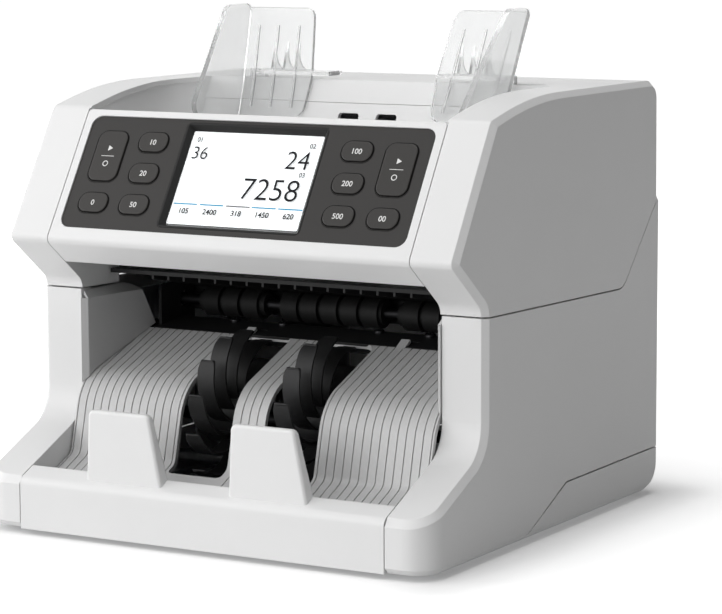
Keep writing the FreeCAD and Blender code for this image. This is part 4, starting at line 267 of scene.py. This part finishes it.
fascia_grey = shell_plastic("fascia_grey", (0.028, 0.0265, 0.0255, 1), (0.025, 0.0235, 0.0225, 1),
                            0.50, 3000.0, 0.000010, 0.0002)
key_grey = shell_plastic("key_grey", (0.032, 0.030, 0.0285, 1), (0.028, 0.0265, 0.025, 1),
                         0.45, 2600.0, 0.000012, 0.0003)
frame_black = shell_plastic("frame_black", (0.012, 0.012, 0.012, 1), (0.008, 0.008, 0.008, 1),
                            0.34, 2600.0, 0.000008, 0.0002)
for dark_plastic in (fascia_grey, key_grey, frame_black):
    less_gloss(dark_plastic, 0.25)
dress(fascia_grey, "keypad_fascia")
dress(frame_black, "display_frame")
key_names = sorted(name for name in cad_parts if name.startswith("key_"))
dress(key_grey, *key_names)


# Display: a lit module behind a clear glass.
# The module is an even white, and the glass is flat with a faint grey tint.

def clear_plastic(name, colour, roughness, transmission):
    finish = bpy.data.materials.new(name)
    finish.use_nodes = True
    tree = finish.node_tree
    shader = tree.nodes["Principled BSDF"]
    shader.inputs["Transmission Weight"].default_value = transmission
    shader.inputs["IOR"].default_value = 1.45
    place = tree.nodes.new("ShaderNodeTexCoord")
    haze = tree.nodes.new("ShaderNodeTexNoise")
    haze.inputs["Scale"].default_value = 60.0
    haze.inputs["Detail"].default_value = 4.0
    tree.links.new(place.outputs["Object"], haze.inputs["Vector"])
    tone = tree.nodes.new("ShaderNodeValToRGB")
    tone.color_ramp.elements[0].color = [c * 0.98 for c in colour[:3]] + [1]
    tone.color_ramp.elements[1].color = colour
    tree.links.new(haze.outputs["Fac"], tone.inputs["Fac"])
    tree.links.new(tone.outputs["Color"], shader.inputs["Base Color"])
    spread = tree.nodes.new("ShaderNodeMapRange")
    spread.inputs["To Min"].default_value = max(roughness - 0.02, 0.0)
    spread.inputs["To Max"].default_value = roughness + 0.03
    tree.links.new(haze.outputs["Fac"], spread.inputs["Value"])
    tree.links.new(spread.outputs["Result"], shader.inputs["Roughness"])
    return finish


def plain_ink(name, colour, roughness, glow=0.0):
    finish = bpy.data.materials.new(name)
    finish.use_nodes = True
    tree = finish.node_tree
    shader = tree.nodes["Principled BSDF"]
    shader.inputs["Specular IOR Level"].default_value = 0.08
    shader.inputs["Emission Color"].default_value = colour
    shader.inputs["Emission Strength"].default_value = glow
    place = tree.nodes.new("ShaderNodeTexCoord")
    fleck = tree.nodes.new("ShaderNodeTexNoise")
    fleck.inputs["Scale"].default_value = 3500.0
    tree.links.new(place.outputs["Object"], fleck.inputs["Vector"])
    tone = tree.nodes.new("ShaderNodeValToRGB")
    tone.color_ramp.elements[0].color = [c * 0.92 for c in colour[:3]] + [1]
    tone.color_ramp.elements[1].color = colour
    tree.links.new(fleck.outputs["Fac"], tone.inputs["Fac"])
    tree.links.new(tone.outputs["Color"], shader.inputs["Base Color"])
    spread = tree.nodes.new("ShaderNodeMapRange")
    spread.inputs["To Min"].default_value = roughness - 0.05
    spread.inputs["To Max"].default_value = roughness + 0.05
    tree.links.new(fleck.outputs["Fac"], spread.inputs["Value"])
    tree.links.new(spread.outputs["Result"], shader.inputs["Roughness"])
    return finish


screen_glass = clear_plastic("screen_glass", (0.97, 0.98, 0.98, 1), 0.03, 1.0)
screen_white = plain_ink("screen_white", (0.95, 0.96, 0.97, 1), 0.5, glow=0.42)
dress(screen_glass, "display_glass")
dress(screen_white, "display_module")


# Figures and bars on the display: plain numbers, made up for this part.
# Dark liquid-crystal digits over a row of five short coloured bars.
# They lie on the glass, in the plane of the sloping panel.

panel_foot = Vector((0.0, -0.0957, 0.1376))
panel_angle = math.radians(58.35)
glass_out = -0.0031
ink_thick = 0.00003
digit_share = 0.70
screen_dark = plain_ink("screen_dark", (0.010, 0.010, 0.012, 1), 0.5)
screen_blue = plain_ink("screen_blue", (0.030, 0.300, 0.500, 1), 0.5, glow=0.2)
screen_grey = plain_ink("screen_grey", (0.150, 0.150, 0.160, 1), 0.5, glow=0.1)


def deselect_everything():
    bpy.ops.object.select_all(action="DESELECT")


def settle(piece, name):
    deselect_everything()
    piece.select_set(True)
    bpy.context.view_layer.objects.active = piece
    bpy.ops.object.transform_apply(location=True, rotation=True, scale=True)
    piece.name = name
    piece.data.name = name
    return piece


def on_the_panel(piece, name, x, run, out):
    piece.matrix_world = (Matrix.Translation(panel_foot) @ Matrix.Rotation(panel_angle, 4, "X")
                          @ Matrix.Translation((x, run, out)) @ piece.matrix_world)
    return settle(piece, name)


def figures(text, height, weight, align="CENTER"):
    deselect_everything()
    bpy.ops.object.text_add(location=(0, 0, 0))
    piece = bpy.context.object
    piece.data.body = text
    piece.data.size = height / digit_share
    piece.data.align_x = align
    piece.data.extrude = ink_thick / 2
    piece.data.offset = weight
    piece.data.resolution_u = 5
    bpy.ops.object.convert(target="MESH")
    return bpy.context.object


def thin_bar(width, height):
    deselect_everything()
    bpy.ops.mesh.primitive_cube_add(size=1, location=(0, 0, ink_thick / 2))
    piece = bpy.context.object
    piece.scale = (width, height, ink_thick)
    bpy.ops.object.transform_apply(location=True, rotation=True, scale=True)
    bpy.ops.object.mode_set(mode="EDIT")
    bpy.ops.mesh.select_all(action="SELECT")
    bpy.ops.mesh.bevel(offset=min(width, height, ink_thick * 4) * 0.22, segments=2)
    bpy.ops.object.mode_set(mode="OBJECT")
    return piece


for text, height, weight, x, run, align, name in (
        ("36", 0.0066, -0.00006, -0.0348, 0.0482, "LEFT", "screen_small_figures"),
        ("24", 0.0094, -0.00008, 0.0310, 0.0451, "RIGHT", "screen_middle_figures"),
        ("7258", 0.0112, -0.00014, 0.0300, 0.0286, "RIGHT", "screen_large_figures"),
        ("01", 0.0024, 0.00004, -0.0338, 0.0572, "LEFT", "screen_first_index"),
        ("02", 0.0024, 0.00004, 0.0318, 0.0562, "RIGHT", "screen_second_index"),
        ("03", 0.0024, 0.00004, 0.0305, 0.0412, "RIGHT", "screen_third_index")):
    digits = figures(text, height, weight, align)
    on_the_panel(digits, name, x, run, glass_out + 0.00002)
    digits.data.materials.append(screen_dark)
    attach(digits, "upper")

bar_run = 0.0247
number_run = 0.0198
for place, (x, ink, choice) in enumerate((
        (-0.0294, screen_blue, "105"), (-0.0149, screen_blue, "2400"), (-0.0004, screen_grey, "318"),
        (0.0137, screen_blue, "1450"), (0.0280, screen_blue, "620"))):
    bar = thin_bar(0.0130, 0.0006)
    on_the_panel(bar, "screen_bar_%d" % (place + 1), x, bar_run, glass_out + 0.00001)
    bar.data.materials.append(ink)
    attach(bar, "upper")
    number = figures(choice, 0.0027, 0.00008)
    on_the_panel(number, "screen_number_%d" % (place + 1), x, number_run, glass_out + 0.00002)
    number.data.materials.append(screen_dark)
    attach(number, "upper")


# Legends on the keys: plain numbers on the small keys, and signs on the tall ones.
# Pale grey ink, pad printed on the key tops, so each legend moves with its key.

legend_ink = plain_ink("legend_ink", (0.80, 0.80, 0.79, 1), 0.6)
key_out = 0.00022
key_numbers = {"key_left_top": "10", "key_left_middle": "20", "key_left_bottom": "50",
               "key_left_outer": "0", "key_right_top": "100", "key_right_middle": "200",
               "key_right_bottom": "500", "key_right_outer": "00"}


def key_place(name):
    low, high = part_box(name)
    middle = (low + high) / 2
    ahead, above = middle.y - panel_foot.y, middle.z - panel_foot.z
    return middle.x, ahead * math.cos(panel_angle) + above * math.sin(panel_angle)


for name, text in sorted(key_numbers.items()):
    x, run = key_place(name)
    legend = figures(text, 0.0027, 0.00005)
    on_the_panel(legend, "legend_" + name[4:], x, run - 0.0013, key_out)
    legend.data.materials.append(legend_ink)
    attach(legend, name + "_body")


def flat_ring(radius, half_band):
    deselect_everything()
    bpy.ops.mesh.primitive_torus_add(major_radius=radius, minor_radius=half_band, major_segments=32,
                                     minor_segments=8, location=(0, 0, 0))
    ring = bpy.context.object
    bpy.ops.object.mode_set(mode="EDIT")
    bpy.ops.mesh.select_all(action="SELECT")
    bpy.ops.transform.resize(value=(1, 1, 0.12))
    bpy.ops.object.mode_set(mode="OBJECT")
    return ring


def start_triangle(radius):
    deselect_everything()
    bpy.ops.mesh.primitive_cylinder_add(vertices=3, radius=radius, depth=ink_thick, location=(0, 0, 0),
                                        rotation=(0, 0, -math.pi / 2))
    sign = bpy.context.object
    bpy.ops.object.mode_set(mode="EDIT")
    bpy.ops.mesh.select_mode(type="EDGE")
    bpy.ops.mesh.select_all(action="DESELECT")
    bpy.ops.object.mode_set(mode="OBJECT")
    for edge in sign.data.edges:
        ends = [sign.data.vertices[corner].co for corner in edge.vertices]
        edge.select = abs(ends[0].z - ends[1].z) > 0.00001
    bpy.ops.object.mode_set(mode="EDIT")
    bpy.ops.mesh.bevel(offset=0.0003, segments=3)
    bpy.ops.object.mode_set(mode="OBJECT")
    return sign


for side in ("left", "right"):
    name = "key_%s_tall" % side
    x, run = key_place(name)
    start_sign = start_triangle(0.0017)
    on_the_panel(start_sign, "legend_%s_start" % side, x, run + 0.0042, key_out)
    line = thin_bar(0.0072, 0.0003)
    on_the_panel(line, "legend_%s_line" % side, x, run, key_out)
    ring = flat_ring(0.0013, 0.00022)
    on_the_panel(ring, "legend_%s_ring" % side, x, run - 0.0040, key_out)
    for piece in (start_sign, line, ring):
        piece.data.materials.append(legend_ink)
        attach(piece, name + "_body")


# Dark surrounds of the keys: painted shade of the gap round each opening, laid on the fascia.
# Each is a thin near-black ring that follows the rim of its key, where the gap's shadow falls.

fascia_out = -0.00048
small_key_size = (0.0160, 0.0101)
tall_key_size = (0.0164, 0.0264)
gap_shade_margin = 0.0015
gap_shade_radius = 0.0053
gap_shade_band = 0.00032
gap_shade_thick = 0.00002
# Near-black painted shade for the gap between each key and the fascia.
surround_black = plain_ink("surround_black", (0.006, 0.006, 0.006, 1), 0.6)


def gap_shade_ring(width, height, radius, band):
    deselect_everything()
    bpy.ops.mesh.primitive_plane_add(size=1, location=(0, 0, 0))
    piece = bpy.context.object
    piece.scale = (width, height, 1)
    bpy.ops.object.transform_apply(location=True, rotation=True, scale=True)
    bpy.ops.object.mode_set(mode="EDIT")
    bpy.ops.mesh.select_all(action="SELECT")
    bpy.ops.mesh.bevel(offset=radius, segments=10, affect="VERTICES")
    bpy.ops.mesh.select_mode(type="FACE")
    bpy.ops.mesh.select_all(action="SELECT")
    bpy.ops.mesh.inset(thickness=band)
    bpy.ops.mesh.delete(type="FACE")
    bpy.ops.mesh.select_all(action="SELECT")
    bpy.ops.mesh.solidify(thickness=gap_shade_thick)
    bpy.ops.mesh.normals_make_consistent(inside=False)
    bpy.ops.object.mode_set(mode="OBJECT")
    return piece


# One painted gap-shade ring per key, drawn on the fascia.
for name in key_names:
    x, run = key_place(name)
    wide, high = tall_key_size if name.endswith("tall") else small_key_size
    gap_shade = gap_shade_ring(wide + gap_shade_margin, high + gap_shade_margin, gap_shade_radius, gap_shade_band)
    on_the_panel(gap_shade, "surround_" + name[4:], x, run, fascia_out)
    gap_shade.data.materials.append(surround_black)
    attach(gap_shade, "upper")


# Clear hopper guides, one on each side of the hopper.
# Injection-moulded clear plastic with a faint haze, so it looks pale grey.
# Each stands on a post that runs in a slot of the casing top.

guide_clear = clear_plastic("guide_clear", (0.92, 0.925, 0.925, 1), 0.07, 0.82)
guide_clear.node_tree.nodes["Principled BSDF"].inputs["IOR"].default_value = 1.40
dress(guide_clear, "guide_left", "guide_right")


# Marks of the power switch: a line and a ring, printed on the rocker's two halves.
# White ink on the two sloping faces, which meet at the rocker's ridge.

switch_ink = plain_ink("switch_ink", (0.75, 0.75, 0.75, 1), 0.5)
rocker_axis = Vector((-0.072, 0.1122, 0.0690))
rocker_tilt = math.radians(9.0)
ridge_depth = 0.0046
face_fall = 0.0020 / 0.0088
above_face = 0.00005
mark_rise = 0.0052


def on_the_rocker(piece, name, rise):
    lean = math.copysign(math.atan(face_fall), rise)
    depth = ridge_depth - abs(rise) * face_fall + above_face
    piece.matrix_world = (Matrix.Translation(rocker_axis) @ Matrix.Rotation(rocker_tilt, 4, "X")
                          @ Matrix.Translation((0, depth, rise)) @ Matrix.Rotation(lean, 4, "X")
                          @ Matrix.Rotation(math.radians(90), 4, "X") @ piece.matrix_world)
    return settle(piece, name)


on_line = thin_bar(0.0006, 0.0034)
on_the_rocker(on_line, "switch_line", mark_rise)
off_ring = flat_ring(0.0015, 0.00026)
on_the_rocker(off_ring, "switch_ring", -mark_rise)
for mark in (on_line, off_ring):
    mark.data.materials.append(switch_ink)
    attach(mark, "rocker")


# Floor and backdrop: one seamless plane of white paper, which isn't part of the object.
# It glows where it is seen, only a little close to the casing and up to pure white further away.
# The weaker glow near the casing is painted shade: a soft grey border round the footprint, laid over the
# real soft shadow beside the feet.

half_footprint = (0.122, 0.119, 0.0)


def seen_or_mirrored(tree):
    rays = tree.nodes.new("ShaderNodeLightPath")
    kinds = [rays.outputs[kind] for kind in ("Is Camera Ray", "Is Transmission Ray", "Is Glossy Ray")]
    any_of = kinds[0]
    for kind in kinds[1:]:
        either = tree.nodes.new("ShaderNodeMath")
        either.operation = "MAXIMUM"
        tree.links.new(any_of, either.inputs[0])
        tree.links.new(kind, either.inputs[1])
        any_of = either.outputs[0]
    return any_of


def after(tree, operation, source):
    step = tree.nodes.new("ShaderNodeVectorMath")
    step.operation = operation
    tree.links.new(source, step.inputs[0])
    return step


deselect_everything()
bpy.ops.mesh.primitive_plane_add(size=30, location=(0, 0, 0))
floor = bpy.context.object
floor.name = "floor"
floor_paper = bpy.data.materials.new("floor_paper")
floor_paper.use_nodes = True
tree = floor_paper.node_tree
paper = tree.nodes["Principled BSDF"]
paper.inputs["Roughness"].default_value = 0.9
paper.inputs["Specular IOR Level"].default_value = 0.0
paper.inputs["Base Color"].default_value = (0.80, 0.80, 0.80, 1)
place = tree.nodes.new("ShaderNodeTexCoord")
outward = after(tree, "ABSOLUTE", place.outputs["Object"])
beyond = after(tree, "SUBTRACT", outward.outputs[0])
beyond.inputs[1].default_value = half_footprint
clear_of = after(tree, "MAXIMUM", beyond.outputs[0])
distance = after(tree, "LENGTH", clear_of.outputs[0])
# Painted shade: the seen glow is only 0.2 at the footprint's edge and climbs to white far off, a darker
# ring round the feet.
painted_shade_ramp = tree.nodes.new("ShaderNodeValToRGB")
painted_shade_ramp.color_ramp.elements[0].position = 0.0
painted_shade_ramp.color_ramp.elements[0].color = (0.20, 0.20, 0.20, 1)
painted_shade_ramp.color_ramp.elements[1].position = 0.8
painted_shade_ramp.color_ramp.elements[1].color = (1, 1, 1, 1)
for spot, grey in ((0.012, 0.30), (0.030, 0.51), (0.050, 0.60), (0.10, 0.62), (0.30, 0.66)):
    stop = painted_shade_ramp.color_ramp.elements.new(spot)
    stop.color = (grey, grey, grey, 1)
tree.links.new(distance.outputs["Value"], painted_shade_ramp.inputs["Fac"])
paper_glow_with_painted_shade = tree.nodes.new("ShaderNodeEmission")
tree.links.new(painted_shade_ramp.outputs["Color"], paper_glow_with_painted_shade.inputs["Color"])
tree.links.new(seen_or_mirrored(tree), paper_glow_with_painted_shade.inputs["Strength"])
both = tree.nodes.new("ShaderNodeAddShader")
tree.links.new(paper.outputs[0], both.inputs[0])
tree.links.new(paper_glow_with_painted_shade.outputs[0], both.inputs[1])
tree.links.new(both.outputs[0], tree.nodes["Material Output"].inputs["Surface"])
floor.data.materials.append(floor_paper)


# Background and light: soft boxes low in front, on the left and overhead.
# The right side stays in shade. The world is white where it is seen, and only a dim fill for the object.

world = bpy.data.worlds.new("studio")
bpy.context.scene.world = world
world.use_nodes = True
tree = world.node_tree
background = tree.nodes["Background"]
level = tree.nodes.new("ShaderNodeMapRange")
level.inputs["To Min"].default_value = 0.03
level.inputs["To Max"].default_value = 1.0
tree.links.new(seen_or_mirrored(tree), level.inputs["Value"])
background.inputs["Color"].default_value = (1, 1, 1, 1)
tree.links.new(level.outputs["Result"], background.inputs["Strength"])
aim = Vector((0, 0, 0.1))


def soft_box(name, spot, size, watts):
    lamp = bpy.data.lights.new(name, "AREA")
    lamp.shape = "SQUARE"
    lamp.size = size
    lamp.energy = watts
    holder = bpy.data.objects.new(name, lamp)
    bpy.context.scene.collection.objects.link(holder)
    holder.location = spot
    holder.rotation_euler = (aim - Vector(spot)).to_track_quat("-Z", "Y").to_euler()


soft_box("low_front_light", (-0.6, -2.0, 0.5), 1.4, 16.5)
soft_box("front_light", (0.3, -2.2, 1.2), 1.4, 7.0)
soft_box("left_light", (-1.9, -0.9, 0.8), 1.4, 22.0)
soft_box("overhead_light", (0.0, -0.2, 2.2), 1.6, 24.0)


# Camera at the photograph's place, found from the casing's own straight edges.
# A long lens well in front of the right corner, a little above the casing.

frame_width = 722.0
focal_length = 2932.5
film_width = 36.0
lens = bpy.data.cameras.new("camera")
lens.sensor_width = film_width
lens.lens = focal_length * film_width / frame_width
lens.clip_start = 0.05
lens.clip_end = 60.0
camera = bpy.data.objects.new("camera", lens)
bpy.context.scene.collection.objects.link(camera)
right = Vector((0.863754, 0.503896, -0.004251))
up = Vector((-0.064967, 0.119721, 0.990680))
back = Vector((0.499709, -0.855427, 0.136146))
camera.matrix_world = Matrix(((right.x, up.x, back.x, 0.72835), (right.y, up.y, back.y, -1.21523),
                              (right.z, up.z, back.z, 0.29522), (0, 0, 0, 1)))
bpy.context.scene.camera = camera
bpy.context.scene.view_settings.view_transform = "Standard"
